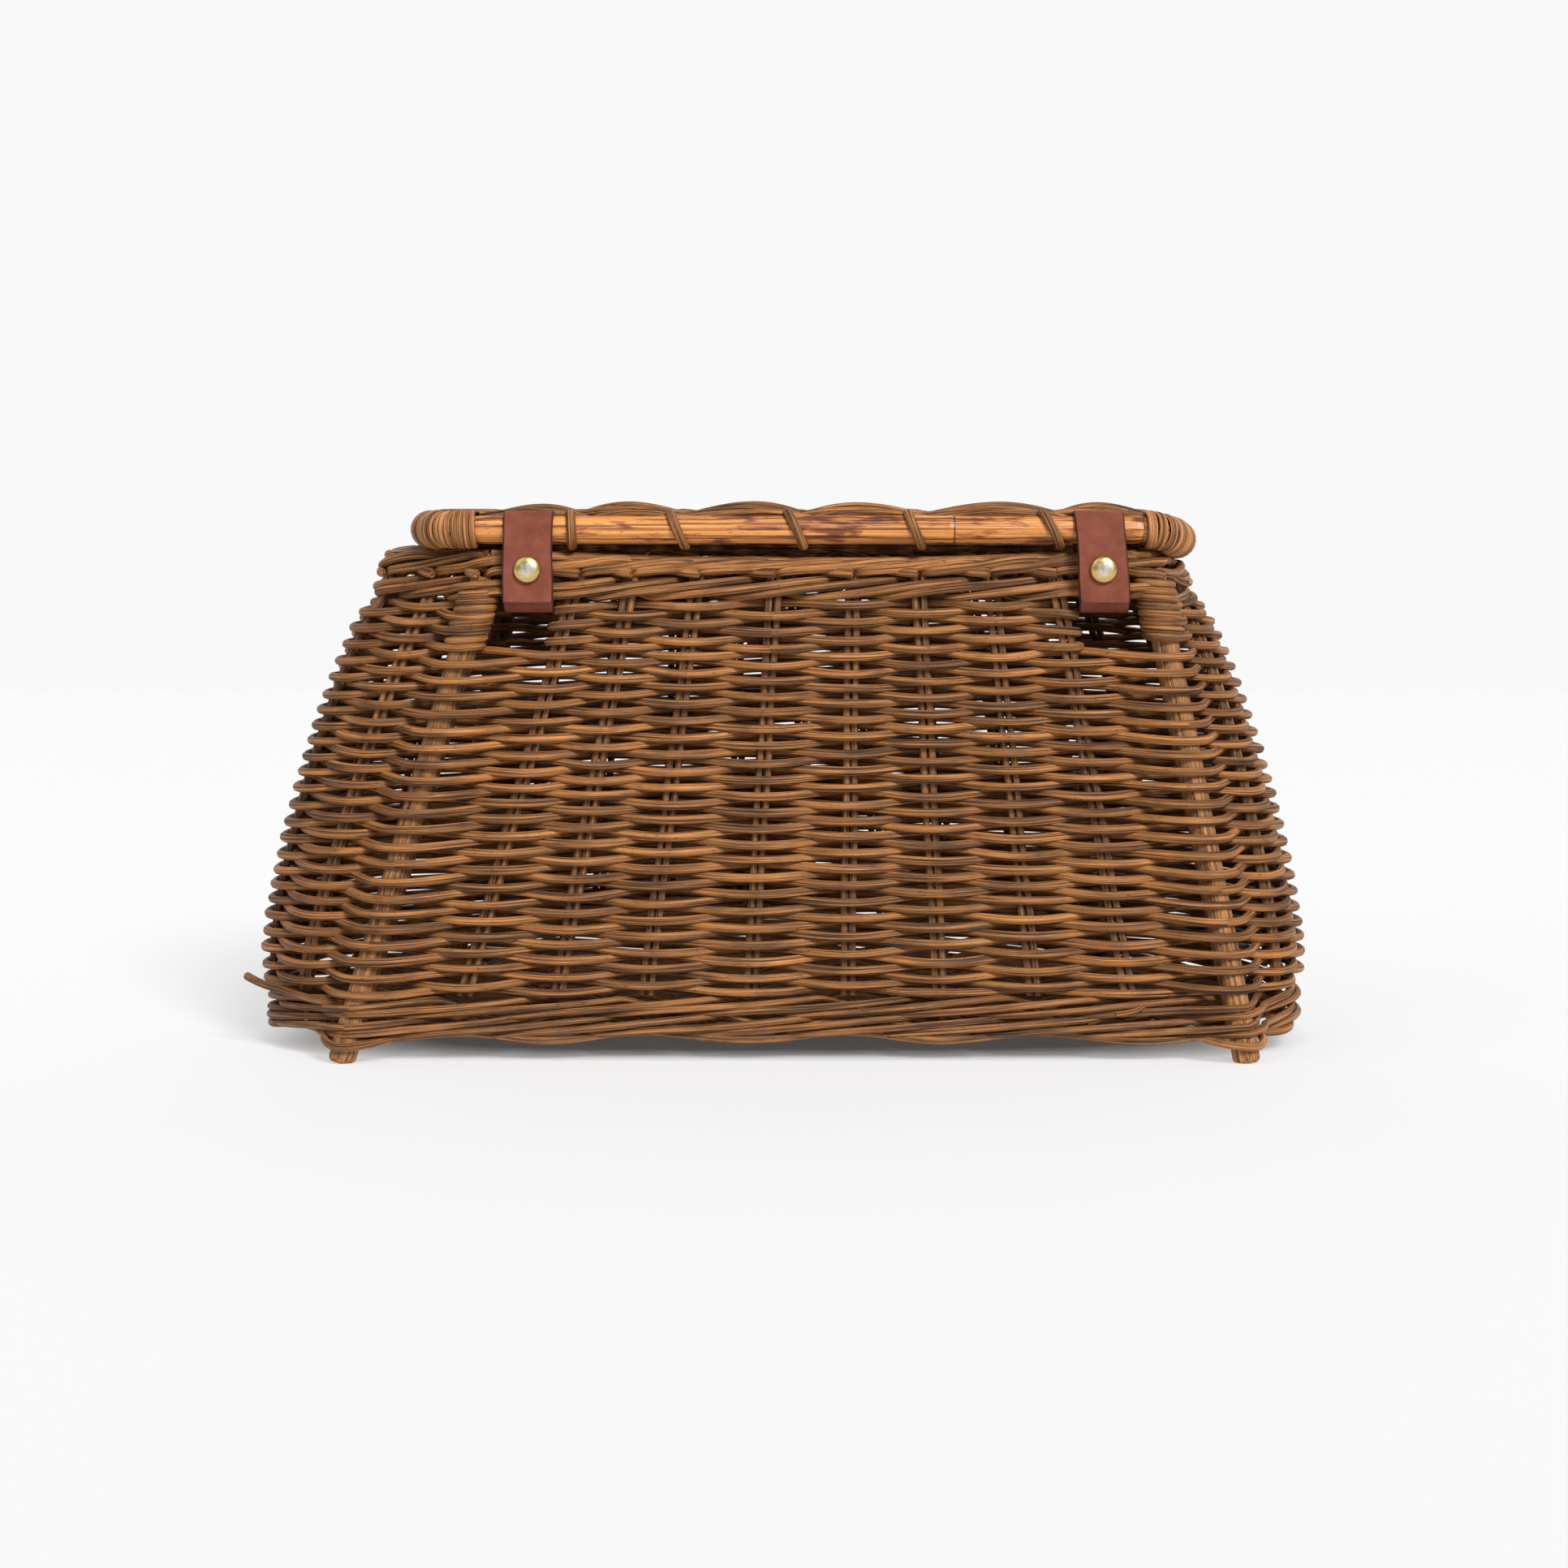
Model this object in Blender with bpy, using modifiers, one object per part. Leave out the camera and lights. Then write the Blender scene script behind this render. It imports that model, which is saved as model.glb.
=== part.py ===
"""Creel-shaped wicker picnic basket with a hinged lid.

Metres, +Z up. The hinge side faces -Y and the origin is under the middle of the basket, on the floor.
The plan is a D: a nearly straight hinge side between two corner posts, flared flanks, a rounded front.
The walls are ruled between that plan at the base and a smaller one at the rim, and the flanks swell a
little between the two wales, so the stakes are straight on the hinge side and front and bent on the flanks.
Places along the walls are counted in stakes: 0 is the left hinge post and HINGE_BAYS the right one,
and the count goes on round the front, back to the left post at BAYS.
"""

import math
from collections import namedtuple

import bmesh
import bpy
from mathutils import Matrix, Vector

# Plan of the stakes at one level. x of the two hinge posts, y of the hinge side and how far it bows in,
# half-width and its y, y of the front.
Plan = namedtuple("Plan", "left_x right_x hinge_y bow widest_x widest_y front_y")
BASE = Plan(-0.1645, 0.1740, -0.0945, 0.006, 0.2025, -0.044, 0.0977)
RIM = Plan(-0.1145, 0.1415, -0.0690, 0.003, 0.1565, -0.029, 0.0740)
BASE_Z = 0.016
RIM_Z = 0.188
LEFT_FLANK_ANGLE = math.radians(47)
RIGHT_FLANK_ANGLE = math.radians(62)
FLANK_PULL = 0.45  # how hard the flank's curve leaves the post, as a share of its length
WIDEST_PULL = 0.35  # and how hard it arrives at the widest point
FRONT_SQUARENESS = 2.25  # 2 would be an ellipse
# Where each hand-set stake stands on the hinge side, as a share of the way between its posts
HINGE_SHARES = {
    BASE: (0.0, 0.118, 0.224, 0.326, 0.446, 0.558, 0.664, 0.772, 0.880, 1.0),
    RIM: (0.0, 0.140, 0.220, 0.318, 0.434, 0.551, 0.650, 0.758, 0.855, 1.0),
}

# Stakes
HINGE_BAYS = len(HINGE_SHARES[BASE]) - 1
ROUND_BAYS = 21
BAYS = HINGE_BAYS + ROUND_BAYS
FRONT_POST_OFFSET = 6  # stakes from a hinge post to the front post beside it
LOOK_ALONG = 0.12  # in stakes, either side, to find which way the wall faces
STAKE_WIDTH = 0.0066
STAKE_DEPTH = 0.0029
STAKE_ROUNDING = 0.3  # share of the half-width that its edges round off
POST_RADIUS = 0.0053
POST_TOP_DROP = 0.0012  # below the top of the upper wale
FOOT_HEIGHT = 0.0085
BORE_OVERSHOOT = 0.006  # how far a bore runs on past the band it cuts
FOOT_BORE_OVERSHOOT = 0.004

# Swelling of the flanks
FLANK_SWELL = 0.0113
SWELL_POWER = 0.5  # below 1 it starts quickly above and below
SWELL_BAYS = 2.0  # how soon it grows beside a post
FLANK_LEVELS = (0.0340, 0.0520, 0.0760, 0.1040, 0.1320, 0.1540)  # where its walls and stakes have their bends

# Heights of the woven bands, bottom to top
GAP = 0.0003
BOTTOM_WALE_TOP = 0.0240
WEAVE_BOTTOM = BOTTOM_WALE_TOP + GAP
WEAVE_TOP = 0.1752
TOP_WALE_BOTTOM = WEAVE_TOP + GAP
TOP_WALE_TOP = 0.1846
BORDER_BOTTOM = TOP_WALE_TOP + GAP
BORDER_TOP = 0.1950
HINGE_SAG = 0.0030  # the border dips in the middle of the hinge side
RIGHT_DROOP = 0.0040  # border and lid both hang lower on the right
DROOP_START_X = 0.1415
DROOP_END_X = 0.156
WALL_THICKNESS = 0.0094
WALE_THICKNESS = 0.0110
BORDER_THICKNESS = 0.0088
POST_BULGE = 0.0036  # extra thickness, each side, where a band rounds a post
BOTTOM_BULGE_REACH = 0.75  # in stakes, either side of the post
TOP_BULGE_REACH = 0.15
BASE_PANEL_BOTTOM = 0.0100
BASE_PANEL_TOP = 0.0185

# Lid
ROD_Z = 0.2027
ROD_Y = -0.0690
ROD_RADIUS = 0.0055
ROD_LEFT_X = -0.1203
ROD_RIGHT_X = 0.1384
HOOP_RADIUS = 0.0074
HOOP_LEFT_X = -0.1404
HOOP_RIGHT_X = 0.1556
HOOP_FRONT_Y = 0.0860
HOOP_CORNER = 0.045
HOOP_CORNER_SQUARENESS = 2.5
HOOP_STUB = 0.0025  # straight end that butts against the rod
HOOP_JOINT_GAP = 0.0006
LID_PANEL_BOTTOM = ROD_Z - 0.0013
LID_PANEL_TOP = ROD_Z + 0.0073
LID_PANEL_BACK = 0.0088  # from the rod's axis
LID_PANEL_INSET = HOOP_RADIUS + 0.0009
LID_CORNER_CUT = 0.005  # the panel's back corners follow the hoop's bend
LID_CORNER_SKIP = 0.002  # outline points closer to the panel's back edge are left out
LASHING_X = (-0.0820, -0.0408, 0.0044, 0.0505, 0.1030)
LASHING_CORD_RADIUS = 0.0011

# Leather and brass
STRAP_X = (-0.0982, 0.1222)
STRAP_WIDTH = 0.0192
LEATHER = 0.0018
SLOT_WIDTH = 0.0212
SLOT_BOTTOM = 0.1577
SLOT_CUTTER_REACH = 0.03  # either side of the wall
SLOT_CUTTER_OVERSHOOT = 0.01
STRAP_FOLD_Z = 0.1735
STRAP_END_Z = 0.1748
STRAP_TUCK_TOP = 0.1938
FOLD_RADIUS = 0.0022
SHOULDER_Z = ROD_Z - 0.0058  # where the strap turns in towards the rod
SHOULDER_STEP = 0.0012
WRAP_START = 168  # degrees round the rod, from the inside
INNER_LAYER_Y = -0.0085  # from the rod's axis
OUTER_LAYER_Y = -0.0108
INSIDE_LEG_Y = 0.0082
RIVET_Z = 0.1875
RIVET_CAP_RADIUS = 0.0053
RIVET_CAP_HEIGHT = 0.0026
RIVET_SHANK_RADIUS = 0.0013
RIVET_BORE_LENGTH = 0.014
BURR_RADIUS = 0.0040
BURR_THICKNESS = 0.0007

# Closure on the front
CLOSURE_WIDTH = 0.0170
CLOSURE_TAIL_ANGLE = math.radians(1.5)
CLOSURE_TAIL_LENGTH = 0.0560
CLOSURE_LOOP_GAP = 0.0012  # round the slightly bent hoop
CLOSURE_OVERLAP = 0.0222
CLOSURE_RIVET_DROP = 0.0168
CLOSURE_LOOP_END = 278  # degrees round the hoop, from the front
CLOSURE_LAYERS_MEET = 0.0105  # below the hoop's axis
CLOSURE_NOTCH_GAP = 0.001  # each side of the strap
CLOSURE_NOTCH_DEPTH = 0.0135  # from the hoop's axis into the lid's panel
CLOSURE_NOTCH_SIZE = 0.03
STUD_Z = 0.1600
STUD_BALL_RADIUS = 0.0028
STUD_NECK_RADIUS = 0.0016
STUD_SHANK_RADIUS = 0.0016
STUD_BALL_RISE = 0.0034  # above its flange's seat
STUD_BALL_SWEEP = math.radians(145)
STUD_FLANGE_RADIUS = 0.0038
STUD_FLANGE_THICKNESS = 0.0006
STUD_NECK_FOOT = 0.0007
STUD_STICKS_OUT = 0.0012  # past the inside of the wall
STUD_BORE_LENGTH = 0.03
PATCH_RADIUS = 0.0085
PATCH_THICKNESS = 0.0018


# ---------------------------------------------------------------- scene and objects

def clear_scene():
    for obj in list(bpy.data.objects):
        bpy.data.objects.remove(obj, do_unlink=True)


def make_collection(name):
    collection = bpy.data.collections.new(name)
    bpy.context.scene.collection.children.link(collection)
    return collection


def principled(name, colour, roughness, metallic=0.0):
    material = bpy.data.materials.new(name)
    material.use_nodes = True
    shader = material.node_tree.nodes["Principled BSDF"]
    shader.inputs["Base Color"].default_value = (*colour, 1.0)
    shader.inputs["Roughness"].default_value = roughness
    shader.inputs["Metallic"].default_value = metallic
    return material


def add_object(name, data, collection, material=None):
    obj = bpy.data.objects.new(name, data)
    collection.objects.link(obj)
    if material:
        data.materials.append(material)
    return obj


def adopt(obj, name, collection, material):
    """Name an object that an operator made, and move it to its own collection."""
    obj.name = name
    obj.data.name = name
    for old in list(obj.users_collection):
        old.objects.unlink(obj)
    collection.objects.link(obj)
    if material:
        obj.data.materials.append(material)
    return obj


def as_cutter(obj):
    obj.hide_render = True
    obj.display_type = "WIRE"
    return obj


def cut_by(obj, cutters):
    modifier = obj.modifiers.new("cut", "BOOLEAN")
    modifier.operation = "DIFFERENCE"
    modifier.operand_type = "COLLECTION"
    modifier.collection = cutters
    modifier.solver = "EXACT"


def shade_round(mesh, angle=math.radians(40)):
    mesh.shade_smooth()
    mesh.set_sharp_from_angle(angle=angle)


def curve_mesh(curve, name, collection, material):
    """Turn a curve into a mesh object whose end caps are welded on."""
    guide = bpy.data.objects.new(name + "_curve", curve)
    collection.objects.link(guide)
    evaluated = guide.evaluated_get(bpy.context.evaluated_depsgraph_get())
    mesh = bpy.data.meshes.new_from_object(evaluated)
    bpy.data.objects.remove(guide)
    mesh.materials.clear()
    work = bmesh.new()
    work.from_mesh(mesh)
    bmesh.ops.remove_doubles(work, verts=work.verts, dist=1e-6)
    work.to_mesh(mesh)
    work.free()
    mesh.name = name
    return add_object(name, mesh, collection, material)


def poly_curve(name, points, cyclic, dimensions="3D"):
    curve = bpy.data.curves.new(name, "CURVE")
    curve.dimensions = dimensions
    curve.resolution_u = 1
    curve.render_resolution_u = 0
    spline = curve.splines.new("POLY")
    spline.points.add(len(points) - 1)
    for target, point in zip(spline.points, points):
        target.co = (*point, 1.0)
    spline.use_cyclic_u = cyclic
    return curve


def tube(name, points, radius, cyclic, collection, material):
    curve = poly_curve(name, points, cyclic)
    curve.bevel_depth = radius
    curve.bevel_resolution = 2
    curve.use_fill_caps = True
    return add_object(name, curve, collection, material)


def plate(name, outline, bottom, top, collection, material):
    """A flat panel: a filled 2D outline, extruded to its thickness."""
    curve = poly_curve(name, [(x, y, 0.0) for x, y in outline], True, "2D")
    curve.fill_mode = "BOTH"
    curve.extrude = (top - bottom) / 2
    obj = curve_mesh(curve, name, collection, material)
    obj.location.z = (bottom + top) / 2
    return obj


def loft(name, sections, closed, collection, material):
    """Skin a solid over a row of sections that change along the way."""
    work = bmesh.new()
    rings = [[work.verts.new(point) for point in section] for section in sections]
    size = len(rings[0])
    pairs = list(zip(rings, rings[1:]))
    if closed:
        pairs.append((rings[-1], rings[0]))
    for ring, following in pairs:
        for i in range(size):
            j = (i + 1) % size
            work.faces.new((ring[i], ring[j], following[j], following[i]))
    if not closed:
        work.faces.new(reversed(rings[0]))
        work.faces.new(rings[-1])
    bmesh.ops.recalc_face_normals(work, faces=work.faces)
    mesh = bpy.data.meshes.new(name)
    work.to_mesh(mesh)
    work.free()
    return add_object(name, mesh, collection, material)


def turned(name, profile, place, collection, material, steps=20):
    """A round part: a profile of (radius, height), top to bottom, turned about Z and then placed."""
    mesh = bpy.data.meshes.new(name)
    points = [(radius, 0.0, height) for radius, height in profile]
    edges = [(i, i + 1) for i in range(len(points) - 1)]
    mesh.from_pydata(points, edges, [])
    obj = add_object(name, mesh, collection, material)
    screw = obj.modifiers.new("turn", "SCREW")
    screw.steps = steps
    screw.render_steps = steps
    screw.use_merge_vertices = True
    screw.merge_threshold = 0.00005
    screw.use_smooth_shade = True
    obj.matrix_world = place
    return obj


# ---------------------------------------------------------------- the plan and the walls

def blend(a, b, f):
    return a + (b - a) * f


def bezier(start, pull_start, pull_end, end, f):
    g = 1 - f
    return (start * g ** 3 + pull_start * (3 * g * g * f)
            + pull_end * (3 * g * f * f) + end * f ** 3)


def flank(post, widest, angle, side):
    """From a hinge post out to the widest point; side is 1 on the right and -1 on the left."""
    reach = (widest - post).length
    away = Vector((side * math.cos(angle), math.sin(angle)))
    steps = 24
    pull_start = post + away * reach * FLANK_PULL
    pull_end = widest - Vector((0, reach * WIDEST_PULL))
    return [bezier(post, pull_start, pull_end, widest, i / steps) for i in range(steps)]


def front_quarter(plan, side):
    """From the widest point to the middle of the front, as a squared ellipse."""
    power = 2 / FRONT_SQUARENESS
    depth = plan.front_y - plan.widest_y
    steps = 60
    points = []
    for i in range(steps):
        angle = math.pi / 2 * i / steps
        points.append(Vector((side * plan.widest_x * math.cos(angle) ** power,
                              plan.widest_y + depth * math.sin(angle) ** power)))
    return points


def round_path(plan):
    """The plan from the right hinge post, round the front, to the left hinge post."""
    right_post = Vector((plan.right_x, plan.hinge_y))
    left_post = Vector((plan.left_x, plan.hinge_y))
    right = flank(right_post, Vector((plan.widest_x, plan.widest_y)), RIGHT_FLANK_ANGLE, 1)
    left = flank(left_post, Vector((-plan.widest_x, plan.widest_y)), LEFT_FLANK_ANGLE, -1)
    right += front_quarter(plan, 1)
    left += front_quarter(plan, -1)
    return right + [Vector((0.0, plan.front_y))] + left[::-1]


def lengths_along(points):
    lengths = [0.0]
    for a, b in zip(points, points[1:]):
        lengths.append(lengths[-1] + (b - a).length)
    return lengths


ROUND_PATHS = {plan: round_path(plan) for plan in (BASE, RIM)}
ROUND_LENGTHS = {plan: lengths_along(path) for plan, path in ROUND_PATHS.items()}


def plan_point(plan, bay):
    """The plan at a place counted in stakes."""
    bay = bay % BAYS
    if bay <= HINGE_BAYS:
        stake = min(int(bay), HINGE_BAYS - 1)
        shares = HINGE_SHARES[plan]
        f = blend(shares[stake], shares[stake + 1], bay - stake)
        return Vector((blend(plan.left_x, plan.right_x, f),
                       plan.hinge_y + plan.bow * 4 * f * (1 - f)))
    path, lengths = ROUND_PATHS[plan], ROUND_LENGTHS[plan]
    wanted = lengths[-1] * (bay - HINGE_BAYS) / ROUND_BAYS
    i = 0
    while lengths[i + 1] < wanted:
        i += 1
    f = (wanted - lengths[i]) / (lengths[i + 1] - lengths[i])
    return path[i].lerp(path[i + 1], f)


def ruled_point(bay, z):
    """The wall before its flanks swell."""
    f = (z - BASE_Z) / (RIM_Z - BASE_Z)
    return plan_point(BASE, bay).lerp(plan_point(RIM, bay), f)


def swell(bay, z):
    """How far a flank stands out at this place: nothing at its posts and at the wales."""
    bay = bay % BAYS
    from_hinge_post = min(bay - HINGE_BAYS, BAYS - bay)
    from_front_post = FRONT_POST_OFFSET - from_hinge_post
    f = (z - WEAVE_BOTTOM) / (WEAVE_TOP - WEAVE_BOTTOM)
    if from_hinge_post <= 0 or from_front_post <= 0 or not 0 < f < 1:
        return 0.0
    near_posts = (math.sin(math.pi / 2 * min(1.0, from_hinge_post / SWELL_BAYS))
                  * math.sin(math.pi / 2 * min(1.0, from_front_post / SWELL_BAYS)))
    return FLANK_SWELL * near_posts * (4 * f * (1 - f)) ** SWELL_POWER


def square_to(a, b):
    along = (b - a).normalized()
    return Vector((along.y, -along.x))


def wall_point(bay, z):
    """The middle of the wall's thickness."""
    away = square_to(ruled_point(bay - LOOK_ALONG, z), ruled_point(bay + LOOK_ALONG, z))
    return ruled_point(bay, z) + away * swell(bay, z)


def outward(bay, z, low=-math.inf, high=math.inf):
    """Horizontal direction out of the wall, looking no further than low and high."""
    return square_to(wall_point(max(bay - LOOK_ALONG, low), z), wall_point(min(bay + LOOK_ALONG, high), z))


def at(bay, z, offset, low=-math.inf, high=math.inf):
    point = wall_point(bay, z) + outward(bay, z, low, high) * offset
    return Vector((point.x, point.y, z))


def droop(x):
    """How much lower the rim and the lid are at x."""
    f = min(max((x - DROOP_START_X) / (DROOP_END_X - DROOP_START_X), 0.0), 1.0)
    return RIGHT_DROOP * f * f * (3 - 2 * f)


def hinge_sag(bay):
    f = (bay % BAYS) / HINGE_BAYS
    return HINGE_SAG * 4 * f * (1 - f) if f < 1 else 0.0


POST_BAYS = {
    "hinge_left": 0,
    "hinge_right": HINGE_BAYS,
    "front_right": HINGE_BAYS + FRONT_POST_OFFSET,
    "front_left": BAYS - FRONT_POST_OFFSET,
}


def post_bulge(bay, reach):
    """A band is thicker where it passes round a post."""
    near = min(min(abs(bay % BAYS - post), BAYS - abs(bay % BAYS - post)) for post in POST_BAYS.values())
    return POST_BULGE * max(0.0, 1 - (near / reach) ** 2)


# ---------------------------------------------------------------- the woven bands

def ring_bays():
    """Where a ring has its sections: two to a bay, and more at the posts."""
    return sorted({step / 2 for step in range(2 * BAYS)}
                  | {(post + side * TOP_BULGE_REACH) % BAYS for post in POST_BAYS.values() for side in (-1, 1)})


def band_sections(bottom, top, thickness, bulge_reach, hangs, sags):
    """Rounded sections of a woven ring."""
    chamfer = 0.28
    sections = []
    for bay in ring_bays():
        middle = wall_point(bay, (bottom + top) / 2)
        lower = droop(middle.x) if hangs else 0.0
        half = thickness / 2 + (post_bulge(bay, bulge_reach) if bulge_reach else 0.0)
        height = top - bottom - (hinge_sag(bay) if sags else 0.0)
        corners = []
        for side, rise in ((-1, chamfer), (-1, 1 - chamfer), (-1 + 2 * chamfer, 1), (1 - 2 * chamfer, 1),
                           (1, 1 - chamfer), (1, chamfer), (1 - 2 * chamfer, 0), (-1 + 2 * chamfer, 0)):
            point = at(bay, bottom + height * rise, half * side)
            corners.append((point.x, point.y, point.z - lower))
        sections.append(corners)
    return sections


def woven_ring(name, bottom, top, thickness, collection, material, bulge_reach=0.0, hangs=True,
               sags=False):
    """A band of weaving round the basket. It hangs lower on the right, and its top may sag at the hinges."""
    sections = band_sections(bottom, top, thickness, bulge_reach, hangs, sags)
    return loft(name, sections, True, collection, material)


def beside_post(post, z, step):
    """The place on the wall where it stops beside a post; step is 1 after the post and -1 before it."""
    bay_length = (wall_point(post + step * 0.25, z) - wall_point(post, z)).length * 4
    return post + step * (POST_RADIUS + 2 * GAP) / bay_length


def wall_sections(first, last, thickness, bends):
    """Upright sections from one post to the next: up the outside and back down the inside."""
    count = 2 * (last - first)
    half = thickness / 2
    levels = (WEAVE_BOTTOM, *bends, WEAVE_TOP)
    sections = []
    for i in range(count + 1):
        outside, inside = [], []
        for level in levels:
            bay = blend(beside_post(first, level, 1), beside_post(last, level, -1), i / count)
            z = level - (droop(wall_point(bay, level).x) if level == WEAVE_TOP else 0.0)
            outside.append(at(bay, z, half, first, last))
            inside.append(at(bay, z, -half, first, last))
        sections.append(outside + inside[::-1])
    return sections


def stake_sections(bay, levels, grow):
    """A pair of stakes side by side, as one flat bar with rounded edges."""
    half_width = STAKE_WIDTH / 2 + grow
    half_depth = STAKE_DEPTH / 2 + grow
    corner = half_depth * 0.6
    flat = 1 - STAKE_ROUNDING
    sections = []
    for z in levels:
        out = outward(bay, z)
        out = Vector((out.x, out.y, 0.0))
        along = Vector((-out.y, out.x, 0.0))
        centre = at(bay, z, 0.0)
        corners = []
        for a, o in ((-1, -corner), (-1, corner), (-flat, half_depth), (flat, half_depth),
                     (1, corner), (1, -corner), (flat, -half_depth), (-flat, -half_depth)):
            corners.append(centre + along * (a * half_width) + out * o)
        sections.append(corners)
    return sections


def wall_with_stakes(side, first, last, collection, wall_material, stake_material, extra_cutters=(),
                     bends=()):
    """One side of the basket between two posts, bored for the stakes that it is woven round."""
    wall = loft(side + "_wall_weave", wall_sections(first, last, WALL_THICKNESS, bends), False,
                collection, wall_material)
    cutters = make_collection(side + "_wall_cutters")
    for number, bay in enumerate(range(first + 1, last), start=1):
        top = WEAVE_TOP - droop(wall_point(bay, WEAVE_TOP).x) - 3 * GAP
        levels = (WEAVE_BOTTOM, *bends, top)
        bore_levels = (WEAVE_BOTTOM - BORE_OVERSHOOT, *levels, top + BORE_OVERSHOOT)
        loft(f"{side}_stake_{number}", stake_sections(bay, levels, 0.0), False, collection, stake_material)
        as_cutter(loft(f"{side}_bore_{number}", stake_sections(bay, bore_levels, GAP), False, cutters, None))
    for cutter in extra_cutters:
        for old in list(cutter.users_collection):
            old.objects.unlink(cutter)
        cutters.objects.link(as_cutter(cutter))
    cut_by(wall, cutters)
    return wall


def slot_cutter(x, collection):
    """The opening under a hinge strap, open at the top where the wale closes it."""
    middle_y = wall_point(HINGE_BAYS / 2, SLOT_BOTTOM).y
    sections = []
    left, right = x - SLOT_WIDTH / 2, x + SLOT_WIDTH / 2
    top = WEAVE_TOP + SLOT_CUTTER_OVERSHOOT
    for y in (middle_y - SLOT_CUTTER_REACH, middle_y + SLOT_CUTTER_REACH):
        sections.append([(left, y, SLOT_BOTTOM), (right, y, SLOT_BOTTOM), (right, y, top), (left, y, top)])
    return loft("slot", sections, False, collection, None)


def leaning_bar(name, bay, bottom, top, radius, collection, material):
    """A round post cut level at both ends, leaning with the wall."""
    foot, head = at(bay, bottom, 0.0), at(bay, top, 0.0)
    height = top - bottom
    bpy.ops.mesh.primitive_cylinder_add(vertices=16, radius=radius, depth=height)
    bar = adopt(bpy.context.object, name, collection, material)
    lean = Matrix.Identity(4)
    lean[0][2] = (head.x - foot.x) / height
    lean[1][2] = (head.y - foot.y) / height
    bar.data.transform(lean)
    bar.location = (foot + head) / 2
    shade_round(bar.data)
    return bar


def posts(collection, material):
    """Four corner posts; their lower ends are the feet. Returns the bores that they need."""
    bores = make_collection("post_bores")
    for name, bay in POST_BAYS.items():
        top = TOP_WALE_TOP - droop(wall_point(bay, RIM_Z).x) - POST_TOP_DROP
        leaning_bar(name + "_post", bay, 0.0, top, POST_RADIUS, collection, material)
        as_cutter(leaning_bar(name + "_bore", bay, -FOOT_BORE_OVERSHOOT, top + BORE_OVERSHOOT,
                              POST_RADIUS + GAP, bores, None))
    return bores


def base_panel(collection, material):
    """The woven floor, inside the bottom wale."""
    outline = []
    for step in range(2 * BAYS):
        bay = step / 2
        inner = WALE_THICKNESS / 2 + post_bulge(bay, BOTTOM_BULGE_REACH) + 3 * GAP
        point = at(bay, BOTTOM_WALE_TOP, -inner)
        outline.append((point.x, point.y))
    return plate("base_weave", outline, BASE_PANEL_BOTTOM, BASE_PANEL_TOP, collection, material)


# ---------------------------------------------------------------- the lid

def hoop_corner(rod_end_x, widest_x):
    """From the end of the rod, turning into the side of the hoop."""
    side = math.copysign(1.0, widest_x)
    start_x = rod_end_x + side * HOOP_JOINT_GAP
    bend_x = start_x + side * HOOP_STUB
    power = 2 / HOOP_CORNER_SQUARENESS
    steps = 8
    points = [(start_x, ROD_Y)]
    for i in range(steps):
        angle = math.pi / 2 * i / steps
        points.append((blend(bend_x, widest_x, math.sin(angle) ** power),
                       ROD_Y + HOOP_CORNER * (1 - math.cos(angle) ** power)))
    return points


def hoop_path():
    """The bent cane hoop, from the left end of the rod, round the front, to its right end."""
    middle_x = (HOOP_LEFT_X + HOOP_RIGHT_X) / 2
    half = (HOOP_RIGHT_X - HOOP_LEFT_X) / 2
    side_y = ROD_Y + HOOP_CORNER
    power = 2 / FRONT_SQUARENESS
    steps = 28
    front = []
    for i in range(steps + 1):
        angle = math.pi * i / steps
        across = math.copysign(abs(math.cos(angle)) ** power, -math.cos(angle))
        front.append((middle_x + half * across,
                      side_y + (HOOP_FRONT_Y - side_y) * abs(math.sin(angle)) ** power))
    return (hoop_corner(ROD_LEFT_X, HOOP_LEFT_X) + front
            + hoop_corner(ROD_RIGHT_X, HOOP_RIGHT_X)[::-1])


def lid_hoop(collection, material):
    points = [(x, y, ROD_Z - droop(x)) for x, y in hoop_path()]
    return tube("lid_hoop", points, HOOP_RADIUS, False, collection, material)


def lid_rod(collection, material):
    length = ROD_RIGHT_X - ROD_LEFT_X
    bpy.ops.mesh.primitive_cylinder_add(vertices=20, radius=ROD_RADIUS, depth=length)
    rod = adopt(bpy.context.object, "lid_rod", collection, material)
    rod.location = ((ROD_LEFT_X + ROD_RIGHT_X) / 2, ROD_Y, ROD_Z)
    rod.rotation_euler = (0.0, math.pi / 2, 0.0)
    shade_round(rod.data)
    return rod


def lid_panel(collection, material):
    """The woven lid, inside the hoop, with a notch for the closure's loop at the front."""
    back = ROD_Y + LID_PANEL_BACK
    path = [Vector(point) for point in hoop_path()]
    outline = []
    for before, here, after in zip(path, path[1:], path[2:]):
        along = (after - before).normalized()
        point = here + Vector((along.y, -along.x)) * LID_PANEL_INSET
        if point.y > back + LID_CORNER_SKIP:
            outline.append((point.x, point.y))
    right_corner, left_corner = outline[-1][0] - LID_CORNER_CUT, outline[0][0] + LID_CORNER_CUT
    outline += [(right_corner, back), (left_corner, back)]
    panel = plate("lid_weave", outline, LID_PANEL_BOTTOM, LID_PANEL_TOP, collection, material)
    cutters = make_collection("lid_cutters")
    bpy.ops.mesh.primitive_cube_add(size=1.0)
    notch = adopt(bpy.context.object, "closure_notch", cutters, None)
    notch.scale = (CLOSURE_WIDTH + 2 * CLOSURE_NOTCH_GAP, CLOSURE_NOTCH_SIZE, CLOSURE_NOTCH_SIZE)
    notch.location = (closure_x(), HOOP_FRONT_Y - CLOSURE_NOTCH_DEPTH + CLOSURE_NOTCH_SIZE / 2, ROD_Z)
    as_cutter(notch)
    cut_by(panel, cutters)
    return panel


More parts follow.
